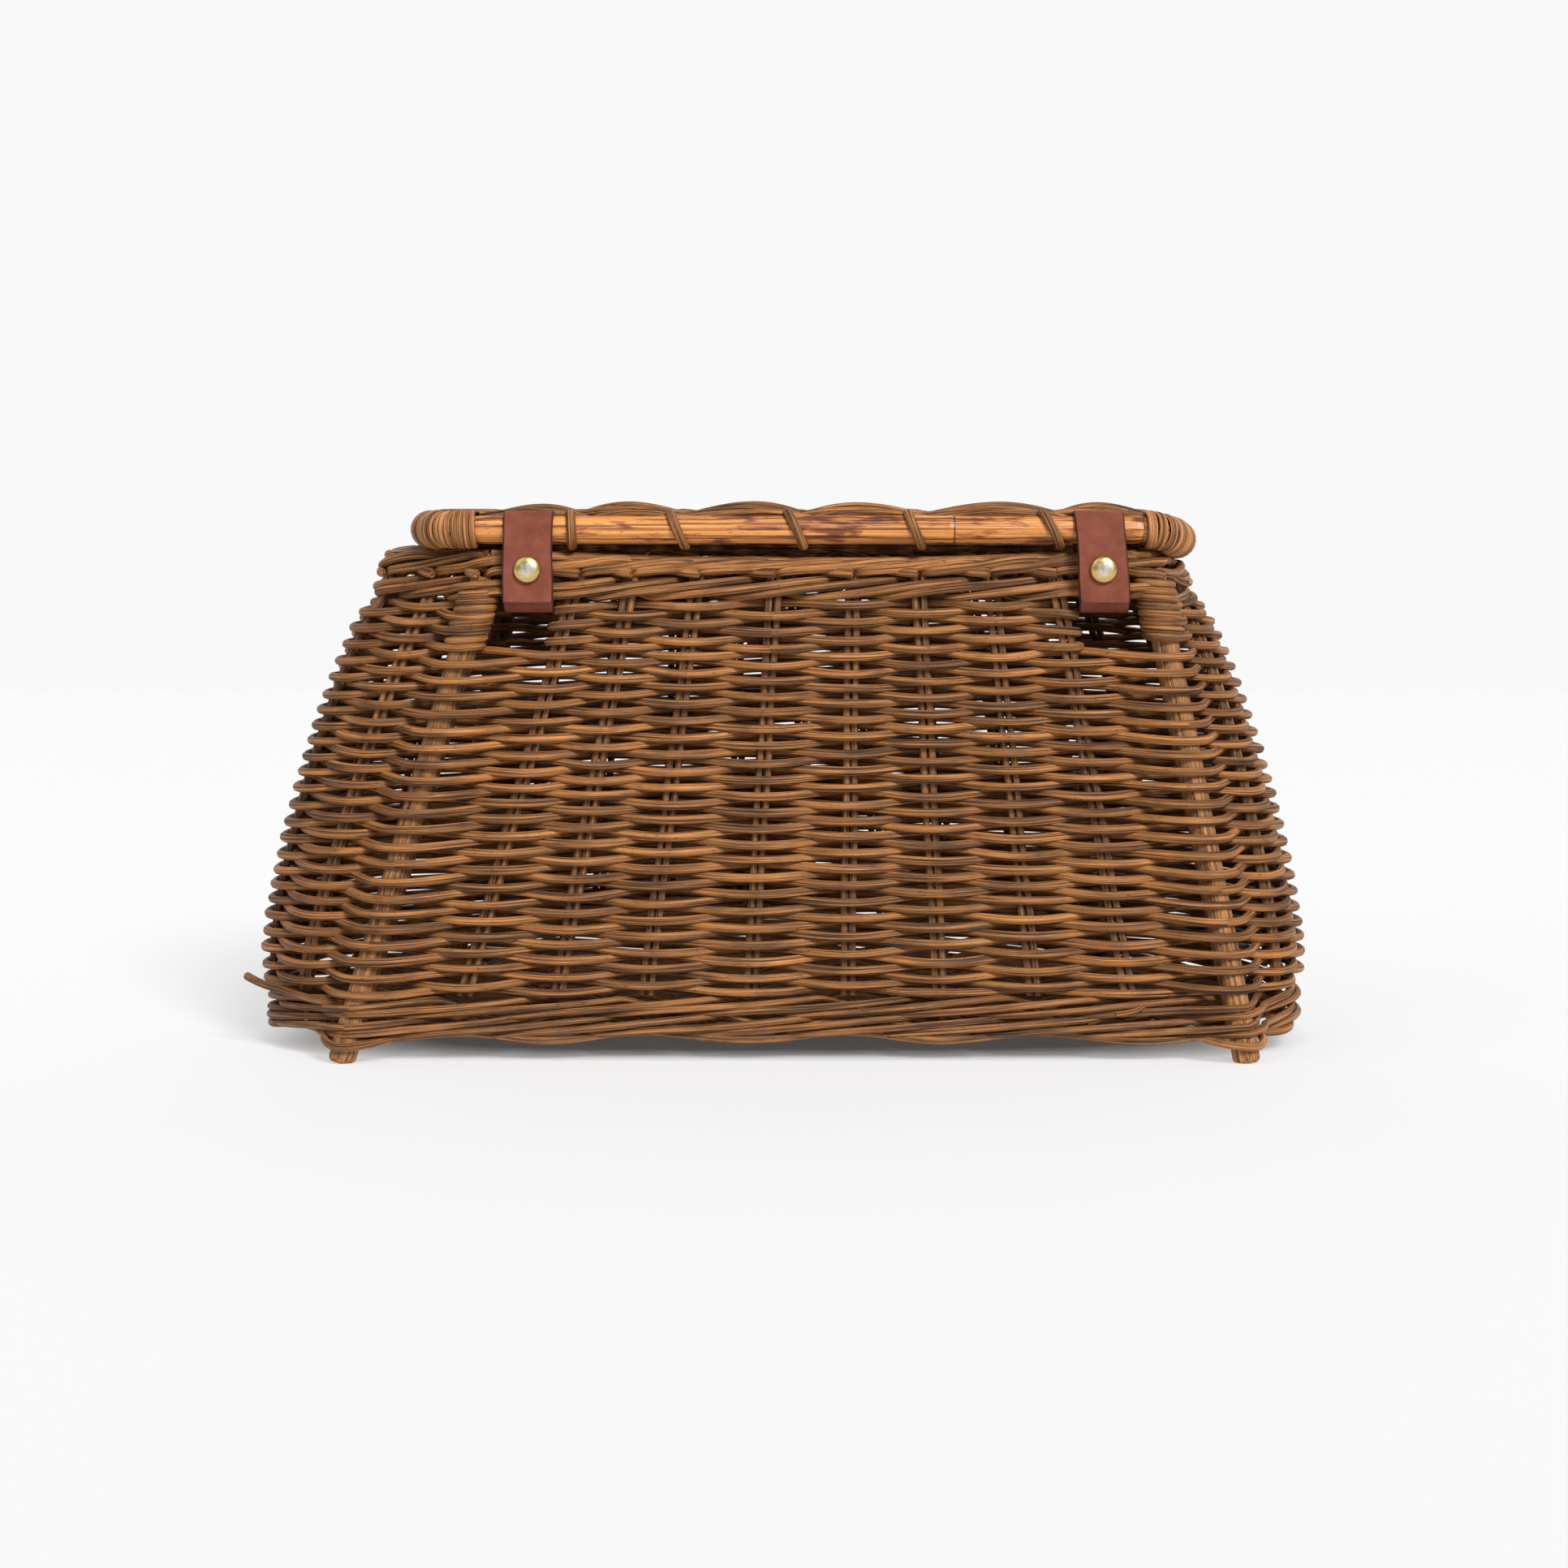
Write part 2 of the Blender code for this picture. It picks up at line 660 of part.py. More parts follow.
def lashings(collection, material):
    """Rings of cane that bind the woven lid to its rod."""
    for number, x in enumerate(LASHING_X, start=1):
        bpy.ops.mesh.primitive_torus_add(major_radius=ROD_RADIUS + GAP + 1.15 * LASHING_CORD_RADIUS,
                                         minor_radius=LASHING_CORD_RADIUS, major_segments=20, minor_segments=6)
        ring = adopt(bpy.context.object, f"lid_lashing_{number}", collection, material)
        ring.location = (x, ROD_Y, ROD_Z)
        ring.rotation_euler = (0.0, math.pi / 2, 0.0)
        ring.data.shade_smooth()


# ---------------------------------------------------------------- leather and brass

def arc(centre, radius, start, end, steps):
    """Points (y, z) on an arc; angles in degrees from +Y towards +Z."""
    points = []
    for i in range(steps + 1):
        angle = math.radians(blend(start, end, i / steps))
        points.append((centre[0] + radius * math.cos(angle), centre[1] + radius * math.sin(angle)))
    return points


def leather_strip(name, path, x, width, collection, material):
    """A strip of leather that follows a path of (y, z) points, centred at x."""
    curve = poly_curve(name, [(y, z, 0.0) for y, z in path], False)
    curve.extrude = width / 2
    strip = curve_mesh(curve, name, collection, material)
    solid = strip.modifiers.new("thickness", "SOLIDIFY")
    solid.thickness = LEATHER
    solid.offset = 0.0
    solid.use_even_offset = True
    strip.matrix_world = Matrix(((0, 0, 1, x), (1, 0, 0, 0), (0, 1, 0, 0), (0, 0, 0, 1)))
    return strip


def hinge_strap_path():
    """Up the outside, over the rod, down the inside, out through the slot and up under itself."""
    around = ROD_RADIUS + GAP + LEATHER / 2
    outer, inner = ROD_Y + OUTER_LAYER_Y, ROD_Y + INNER_LAYER_Y
    bend = FOLD_RADIUS
    path = [(outer, STRAP_END_Z), (outer, RIVET_Z), (outer, STRAP_TUCK_TOP), (outer + SHOULDER_STEP, SHOULDER_Z)]
    path += arc((ROD_Y, ROD_Z), around, WRAP_START, 0, 10)
    path += arc((ROD_Y + INSIDE_LEG_Y - bend, STRAP_FOLD_Z + bend), bend, 0, -90, 4)
    path += arc((inner + bend, STRAP_FOLD_Z + bend), bend, -90, -180, 4)
    path += [(inner, RIVET_Z), (inner, STRAP_TUCK_TOP)]
    return path


def rivet_profile(shank):
    steps = 5
    dome = []
    for i in range(steps + 1):
        angle = math.pi / 2 * i / steps
        dome.append((RIVET_CAP_RADIUS * math.sin(angle), RIVET_CAP_HEIGHT * math.cos(angle)))
    return dome + [(RIVET_SHANK_RADIUS, 0.0), (RIVET_SHANK_RADIUS, -shank), (0.0, -shank)]


def burr_profile():
    hole = RIVET_SHANK_RADIUS + GAP
    return [(hole, BURR_THICKNESS), (BURR_RADIUS, BURR_THICKNESS), (BURR_RADIUS, 0.0), (hole, 0.0),
            (hole, BURR_THICKNESS)]


def pointing(origin, direction):
    """A placement whose local Z points along direction."""
    turn = Vector(direction).normalized().to_track_quat("Z", "Y").to_matrix().to_4x4()
    return Matrix.Translation(origin) @ turn


def rivet_through(strip, prefix, point, direction, layers, collection, brass):
    """A domed rivet through a strip's two layers, and the burr that holds it behind them."""
    out = Vector(direction).normalized()
    front = Vector(point) + out * (LEATHER / 2 + GAP)
    behind = Vector(point) - out * (layers + LEATHER / 2 + GAP + BURR_THICKNESS)
    shank = (front - behind).length
    turned(prefix + "_rivet", rivet_profile(shank), pointing(front, out), collection, brass)
    turned(prefix + "_burr", burr_profile(), pointing(behind, out), collection, brass)
    bores = make_collection(prefix + "_bores")
    bpy.ops.mesh.primitive_cylinder_add(vertices=16, radius=RIVET_SHANK_RADIUS + GAP,
                                        depth=RIVET_BORE_LENGTH)
    bore = adopt(bpy.context.object, prefix + "_bore", bores, None)
    bore.matrix_world = pointing(Vector(point) - out * layers / 2, out)
    as_cutter(bore)
    cut_by(strip, bores)


def hinge_straps(collection, leather, brass):
    for side, x in zip(("left", "right"), STRAP_X):
        prefix = "hinge_strap_" + side
        strap = leather_strip(prefix, hinge_strap_path(), x, STRAP_WIDTH, collection, leather)
        rivet_through(strap, prefix, (x, ROD_Y + OUTER_LAYER_Y, RIVET_Z), (0, -1, 0),
                      INNER_LAYER_Y - OUTER_LAYER_Y, collection, brass)


def closure_x():
    """The closure hangs straight over its stud."""
    return stud_frame()[0].x


def closure_strap(collection, leather, brass):
    """A strip looped round the front of the hoop; its tail hangs over the stud."""
    around = HOOP_RADIUS + CLOSURE_LOOP_GAP + LEATHER / 2
    centre = (HOOP_FRONT_Y, ROD_Z)
    lean = CLOSURE_TAIL_ANGLE
    down = Vector((math.sin(lean), -math.cos(lean)))
    out = Vector((math.cos(lean), math.sin(lean)))
    tail_start = Vector(centre) + out * around
    tuck = LEATHER + GAP
    loop = arc(centre, around, math.degrees(lean), CLOSURE_LOOP_END, 16)
    back = Vector(centre) + out * (around - tuck)
    path = [tail_start + down * CLOSURE_TAIL_LENGTH, tail_start + down * CLOSURE_RIVET_DROP, *loop]
    path += [back + down * CLOSURE_LAYERS_MEET, back + down * CLOSURE_OVERLAP]
    strap = leather_strip("closure_strap", [tuple(point) for point in path], closure_x(), CLOSURE_WIDTH,
                          collection, leather)
    rivet = tail_start + down * CLOSURE_RIVET_DROP
    rivet_through(strap, "closure_strap", (closure_x(), rivet.x, rivet.y), (0, out.x, out.y), tuck,
                  collection, brass)


def stud_frame():
    """Where the stud stands on the front wall, and which way it points."""
    bay = HINGE_BAYS + ROUND_BAYS / 2
    low, high = wall_point(bay, STUD_Z - 0.01), wall_point(bay, STUD_Z + 0.01)
    out = Vector((0.0, 0.02, low.y - high.y)).normalized()
    seat = at(bay, STUD_Z, 0.0) + out * (WALL_THICKNESS / 2 + GAP)
    return seat, out


def closure_stud(collection, leather, brass):
    """A knob stud on a round leather patch, fixed through the front wall. Returns its bore."""
    seat, out = stud_frame()
    flange = PATCH_THICKNESS + GAP
    through = WALL_THICKNESS + STUD_STICKS_OUT
    ball = STUD_BALL_RADIUS
    ball_z = flange + STUD_BALL_RISE
    profile = []
    steps = 6
    for i in range(steps + 1):
        angle = STUD_BALL_SWEEP * i / steps
        profile.append((ball * math.sin(angle), ball_z + ball * math.cos(angle)))
    profile += [(STUD_NECK_RADIUS, flange + STUD_NECK_FOOT),
                (STUD_FLANGE_RADIUS, flange + STUD_FLANGE_THICKNESS), (STUD_FLANGE_RADIUS, flange),
                (STUD_SHANK_RADIUS, flange), (STUD_SHANK_RADIUS, -through), (0.0, -through)]
    turned("closure_stud", profile, pointing(seat, out), collection, brass, steps=16)
    patch = [(STUD_SHANK_RADIUS + GAP, PATCH_THICKNESS), (PATCH_RADIUS, PATCH_THICKNESS), (PATCH_RADIUS, 0.0),
             (STUD_SHANK_RADIUS + GAP, 0.0), (STUD_SHANK_RADIUS + GAP, PATCH_THICKNESS)]
    turned("closure_patch", patch, pointing(seat, out), collection, leather, steps=16)
    bpy.ops.mesh.primitive_cylinder_add(vertices=16, radius=STUD_SHANK_RADIUS + GAP,
                                        depth=STUD_BORE_LENGTH)
    bore = bpy.context.object
    bore.name = "stud_bore"
    bore.matrix_world = pointing(seat, out)
    return bore


# ---------------------------------------------------------------- materials

def weave_material():
    return principled("woven_cane", (0.195, 0.085, 0.030), 0.62)


def stake_material():
    return principled("stake_cane", (0.230, 0.110, 0.045), 0.60)


def post_material():
    return principled("post_cane", (0.300, 0.150, 0.060), 0.55)


def rod_material():
    return principled("peeled_rod", (0.560, 0.270, 0.085), 0.42)


def hoop_material():
    return principled("wrapped_hoop", (0.260, 0.120, 0.045), 0.50)


def leather_material():
    return principled("red_brown_leather", (0.165, 0.036, 0.024), 0.60)


def brass_material():
    return principled("worn_brass", (0.640, 0.500, 0.280), 0.30, 1.0)


def build():
    clear_scene()
    basket = make_collection("wicker_picnic_basket")
    weave, stake, post = weave_material(), stake_material(), post_material()
    rod, hoop = rod_material(), hoop_material()
    leather, brass = leather_material(), brass_material()

    bores = posts(basket, post)
    slots = [slot_cutter(x, basket) for x in STRAP_X]
    front_right, front_left = POST_BAYS["front_right"], POST_BAYS["front_left"]
    wall_with_stakes("hinge", 0, HINGE_BAYS, basket, weave, stake, slots)
    wall_with_stakes("right", HINGE_BAYS, front_right, basket, weave, stake, bends=FLANK_LEVELS)
    wall_with_stakes("front", front_right, front_left, basket, weave, stake,
                     [closure_stud(basket, leather, brass)])
    wall_with_stakes("left", front_left, BAYS, basket, weave, stake, bends=FLANK_LEVELS)

    bottom = woven_ring("bottom_wale", FOOT_HEIGHT, BOTTOM_WALE_TOP, WALE_THICKNESS, basket, weave,
                        bulge_reach=BOTTOM_BULGE_REACH, hangs=False)
    top = woven_ring("top_wale", TOP_WALE_BOTTOM, TOP_WALE_TOP, WALL_THICKNESS, basket, weave,
                     bulge_reach=TOP_BULGE_REACH)
    cut_by(bottom, bores)
    cut_by(top, bores)
    woven_ring("rim_border", BORDER_BOTTOM, BORDER_TOP, BORDER_THICKNESS, basket, weave, sags=True)
    base_panel(basket, weave)

    lid_rod(basket, rod)
    lid_hoop(basket, hoop)
    lid_panel(basket, weave)
    lashings(basket, weave)
    hinge_straps(basket, leather, brass)
    closure_strap(basket, leather, brass)


build()
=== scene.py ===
"""Visual layer of the wicker picnic basket: its strands, leather and brass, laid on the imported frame.

Metres, in the frame of the CAD. Places along the walls are counted in stakes ("bays"): 0 is the left
hinge post, HINGE_BAYS the right one, and the count goes on round the front, back to the left post.
"""
from collections import namedtuple
from math import cos, pi, radians, sin, sqrt

import bpy
import numpy as np
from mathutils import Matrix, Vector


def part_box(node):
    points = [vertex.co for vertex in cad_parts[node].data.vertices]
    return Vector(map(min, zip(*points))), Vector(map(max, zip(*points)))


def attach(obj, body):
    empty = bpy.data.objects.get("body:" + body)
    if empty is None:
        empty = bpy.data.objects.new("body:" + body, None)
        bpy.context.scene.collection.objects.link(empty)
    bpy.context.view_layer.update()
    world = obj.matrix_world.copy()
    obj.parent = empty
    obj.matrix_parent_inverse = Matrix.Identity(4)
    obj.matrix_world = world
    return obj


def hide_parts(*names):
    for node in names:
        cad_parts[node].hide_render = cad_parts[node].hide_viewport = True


# Plan of the walls at two levels, as in the frame
Plan = namedtuple("Plan", "left_x right_x hinge_y bow widest_x widest_y front_y")
BASE = Plan(-0.1645, 0.1740, -0.0945, 0.006, 0.2025, -0.044, 0.0977)
RIM = Plan(-0.1145, 0.1415, -0.0690, 0.003, 0.1565, -0.029, 0.0740)
BASE_Z = 0.016
RIM_Z = 0.188
LEFT_FLANK_ANGLE = radians(47)
RIGHT_FLANK_ANGLE = radians(62)
FRONT_SQUARENESS = 2.25
BASE_SHARES = (0.0, 0.118, 0.224, 0.326, 0.446, 0.558, 0.664, 0.772, 0.880, 1.0)
RIM_SHARES = (0.0, 0.140, 0.220, 0.318, 0.434, 0.551, 0.650, 0.758, 0.855, 1.0)
HINGE_BAYS = 9
BAYS = 30
FRONT_POST_OFFSET = 6
POST_BAYS = {"hinge_left": 0, "hinge_right": 9, "front_right": 15, "front_left": 24}
PANELS = {"hinge": (0, 9), "right": (9, 15), "front": (15, 24), "left": (24, 30)}

# Swelling of the flanks
FLANK_SWELL = 0.0113
SWELL_POWER = 0.5
SWELL_BAYS = 2.0

# Bands, bottom to top
BOTTOM_WALE_TOP = 0.0240
WEAVE_BOTTOM = 0.0243
WEAVE_TOP = 0.1752
TOP_WALE_TOP = 0.1846
BORDER_TOP = 0.1950
HINGE_SAG = 0.0030
RIGHT_DROOP = 0.0040
DROOP_START_X = 0.1415
DROOP_END_X = 0.156
SLOT_BOTTOM = 0.1577

# Cane
ROWS = 48
ROW_PITCH = (WEAVE_TOP - WEAVE_BOTTOM) / ROWS
WEAVER = 0.00180
STAKE_CANE = 0.00148
STAKE_REACH = 0.0032
POST_RADIUS = 0.0053
POST_REACH = POST_RADIUS + WEAVER
WEAVER_DIP = 0.00072
WALE_LOWEST = 0.0093
WALE_REACH = 0.0039
FLANK_DRAWN_IN = 0.0036  # how far the lowest canes keep inside the wall on the flanks
WALE_OUTSIDE = 0.75  # share of its course that a rod is outside
WALE_STEPS = 14
BORDER_CANE = 0.0019
BORDER_CORE = 0.0021
FAR_SIDE = (11, 28)  # bays where the border's core stands higher, away from the lid's rod
FAR_SIDE_RISE = 0.0012

# Lid
ROD_Z = 0.2027
ROD_Y = -0.0690
ROD_RADIUS = 0.0055
ROD_LEFT_X = -0.1203
ROD_RIGHT_X = 0.1384
ROD_NODE_X = 0.064
HOOP_RADIUS = 0.0074
HOOP_LEFT_X = -0.1404
HOOP_RIGHT_X = 0.1556
HOOP_FRONT_Y = 0.0860
HOOP_CORNER = 0.045
HOOP_CORNER_SQUARENESS = 2.5
HOOP_STUB = 0.0025
HOOP_JOINT_GAP = 0.0006
HOOP_LAP = 0.0022  # how far its wrapping covers the rod's ends
WRAP_CANE = 0.00085  # half the thickness of the flat cane round the hoop
WRAP_STEP = 0.0008
WRAP_SECTIONS = 22  # to each turn
WRAP_TURNS = 7  # to each length of flat cane
LASHING_X = (-0.0820, -0.0408, 0.0044, 0.0505, 0.1030)

# Leather and brass
STRAP_X = (-0.0982, 0.1222)
STRAP_WIDTH = 0.0192
LEATHER = 0.0018
STRAP_FOLD_Z = 0.1735
STRAP_END_Z = 0.1748
STRAP_TUCK_TOP = 0.1938
INNER_LAYER_Y = -0.0085
OUTER_LAYER_Y = -0.0108
INSIDE_LEG_Y = 0.0082
FOLD_RADIUS = 0.0022
CLOSURE_X = -0.00765
CLOSURE_WIDTH = 0.0170
CLOSURE_TAIL_ANGLE = radians(1.5)
CLOSURE_TAIL_LENGTH = 0.0560
CLOSURE_LOOP_GAP = 0.0012
CLOSURE_OVERLAP = 0.0222
STUD_Z = 0.1600
PATCH_RADIUS = 0.0085
PATCH_THICKNESS = 0.0018
WALL_THICKNESS = 0.0094

# View and studio
LENS = 71.93
CAMERA_PLACE = (0.0, -1.281, 0.2035)
CAMERA_TILT = radians(4.68)
BACKDROP_Y = 2.6
BACKDROP_HEIGHT = 4.0
PAINTED_SHADOW_HALF = (0.186, 0.083)  # half the width and depth of the painted shadow under the basket, where the floor's glow fades out
FLOOR_HALF_WIDTH = 6.0
FLOOR_FRONT_Y = -4.0
FLOOR_Z = -0.0002

rng = np.random.default_rng(20481)


# ---------------------------------------------------------------- paths

UP = np.array((0.0, 0.0, 1.0))


def unit(vectors):
    return vectors / (np.linalg.norm(vectors, axis=-1, keepdims=True) + 1e-12)


def directions(path):
    return unit(np.gradient(path, axis=0))


def distances(path):
    return np.concatenate(([0], np.cumsum(np.linalg.norm(np.diff(path, axis=0), axis=1))))


def path_normals(path):
    """Left-hand normals of a path in a plane."""
    along = directions(path)
    return np.stack((-along[:, 1], along[:, 0]), axis=1)


def filled(value, shape):
    return np.broadcast_to(np.asarray(value, dtype=float), shape)


def resampled(path, step):
    """The same route with evenly spaced points, and each point's length along it."""
    run = distances(path)
    wanted = np.linspace(0, run[-1], int(run[-1] / step) + 1)
    return np.stack([np.interp(wanted, run, column) for column in path.T], axis=1), wanted


def rounded(path, passes):
    """Evens out a path's corners without moving its ends."""
    for _ in range(passes):
        inner = (path[:-2] + 2 * path[1:-1] + path[2:]) / 4
        path = np.concatenate((path[:1], inner, path[-1:]))
    return path


def sampled(values, places):
    """Rows of values at fractional indices."""
    index = np.arange(len(values))
    return np.stack([np.interp(places, index, column) for column in values.T], axis=1)


def smooth(points, steps):
    """Catmull-Rom through a few points."""
    points = np.asarray(points, dtype=float)
    padded = np.concatenate((2 * points[:1] - points[1:2], points, 2 * points[-1:] - points[-2:-1]))
    out = []
    for i in range(len(padded) - 3):
        a, b, c, d = padded[i:i + 4]
        for f in np.arange(steps) / steps:
            out.append(0.5 * (2 * b + (c - a) * f + (2 * a - 5 * b + 4 * c - d) * f ** 2
                              + (3 * b - a - 3 * c + d) * f ** 3))
    out.append(padded[-2])
    return np.array(out)


# ---------------------------------------------------------------- plan of the walls

def bezier(a, b, c, d, f):
    g = 1 - f
    return a * g ** 3 + b * (3 * g * g * f) + c * (3 * g * f * f) + d * f ** 3


def flank(post, widest, angle, side):
    reach = np.linalg.norm(widest - post)
    away = np.array((side * cos(angle), sin(angle)))
    pull = widest - np.array((0, reach * 0.35))
    return [bezier(post, post + away * reach * 0.45, pull, widest, i / 24) for i in range(24)]


def front_quarter(plan, side):
    power = 2 / FRONT_SQUARENESS
    depth = plan.front_y - plan.widest_y
    turns = [pi / 2 * i / 60 for i in range(60)]
    return [np.array((side * plan.widest_x * cos(a) ** power, plan.widest_y + depth * sin(a) ** power))
            for a in turns]


def round_path(plan):
    right_post = np.array((plan.right_x, plan.hinge_y))
    left_post = np.array((plan.left_x, plan.hinge_y))
    right = flank(right_post, np.array((plan.widest_x, plan.widest_y)), RIGHT_FLANK_ANGLE, 1)
    left = flank(left_post, np.array((-plan.widest_x, plan.widest_y)), LEFT_FLANK_ANGLE, -1)
    right += front_quarter(plan, 1)
    left += front_quarter(plan, -1)
    return np.array(right + [np.array((0.0, plan.front_y))] + left[::-1])


PLAN_STEP = 0.01
PLAN_BAYS = np.arange(0, BAYS + PLAN_STEP / 2, PLAN_STEP)


def plan_samples(plan, shares):
    """The plan's x and y at every PLAN_STEP of a bay."""
    path = round_path(plan)
    lengths = distances(path)
    wanted = lengths[-1] * np.clip(PLAN_BAYS - HINGE_BAYS, 0, None) / (BAYS - HINGE_BAYS)
    x = np.interp(wanted, lengths, path[:, 0])
    y = np.interp(wanted, lengths, path[:, 1])
    share = np.interp(PLAN_BAYS, np.arange(HINGE_BAYS + 1), shares)
    hinge = PLAN_BAYS <= HINGE_BAYS
    x[hinge] = (plan.left_x + (plan.right_x - plan.left_x) * share)[hinge]
    y[hinge] = (plan.hinge_y + plan.bow * 4 * share * (1 - share))[hinge]
    return np.stack((x, y), axis=1)


BASE_PLAN = plan_samples(BASE, BASE_SHARES)
RIM_PLAN = plan_samples(RIM, RIM_SHARES)


def looked_up(samples, bays):
    bays = np.mod(bays, BAYS)
    return np.stack([np.interp(bays, PLAN_BAYS, column) for column in samples.T], axis=-1)


def ruled_xy(bays, z):
    share = ((np.asarray(z) - BASE_Z) / (RIM_Z - BASE_Z))[..., None]
    low = looked_up(BASE_PLAN, bays)
    return low + (looked_up(RIM_PLAN, bays) - low) * share


def on_flank(bays):
    """1 in the middle of a flank, and 0 at its posts and beyond."""
    bays = np.mod(bays, BAYS)
    from_hinge_post = np.minimum(bays - HINGE_BAYS, BAYS - bays)
    from_front_post = FRONT_POST_OFFSET - from_hinge_post
    return (np.sin(pi / 2 * np.clip(from_hinge_post / SWELL_BAYS, 0, 1))
            * np.sin(pi / 2 * np.clip(from_front_post / SWELL_BAYS, 0, 1)))


def swell(bays, z):
    """How far a flank stands out: nothing at its posts and at the wales."""
    f = np.clip((np.asarray(z) - WEAVE_BOTTOM) / (WEAVE_TOP - WEAVE_BOTTOM), 0, 1)
    return FLANK_SWELL * on_flank(bays) * (4 * f * (1 - f)) ** SWELL_POWER


def square_to(a, b):
    along = b - a
    away = np.stack((along[..., 1], -along[..., 0]), axis=-1)
    return away / np.linalg.norm(away, axis=-1, keepdims=True)


def wall_xy(bays, z):
    away = square_to(ruled_xy(bays - 0.12, z), ruled_xy(bays + 0.12, z))
    return ruled_xy(bays, z) + away * swell(bays, z)[..., None]


def outward_xy(bays, z, spread=0.12):
    return square_to(wall_xy(bays - spread, z), wall_xy(bays + spread, z))


def on_wall(bays, z, offset, spread=0.12):
    """Points at these bays and heights, this far outside the middle of the wall."""
    bays = np.asarray(bays, dtype=float)
    z = filled(z, bays.shape)
    offset = filled(offset, bays.shape)
    xy = wall_xy(bays, z) + outward_xy(bays, z, spread) * offset[..., None]
    return np.concatenate((xy, z[..., None]), axis=-1)


def droop(x):
    f = np.clip((x - DROOP_START_X) / (DROOP_END_X - DROOP_START_X), 0, 1)
    return RIGHT_DROOP * f * f * (3 - 2 * f)


def hinge_sag(bays):
    f = np.mod(bays, BAYS) / HINGE_BAYS
    return np.where(f < 1, HINGE_SAG * 4 * f * (1 - f), 0.0)


# ---------------------------------------------------------------- strands to meshes

# Rings that close a strand: share of the radius, rise, tilt of the skin
CUT_END = ((0.97, 0.02, 0.3), (0.90, 0.10, 0.9), (0.55, 0.12, 1.0))
ROUND_END = ((0.90, 0.40, 0.4), (0.62, 0.78, 0.75), (0.30, 0.96, 0.95))
ENDS = ((0, -1, True), (-1, 1, False))  # index of the ring, sign of its way out, whether its faces turn over


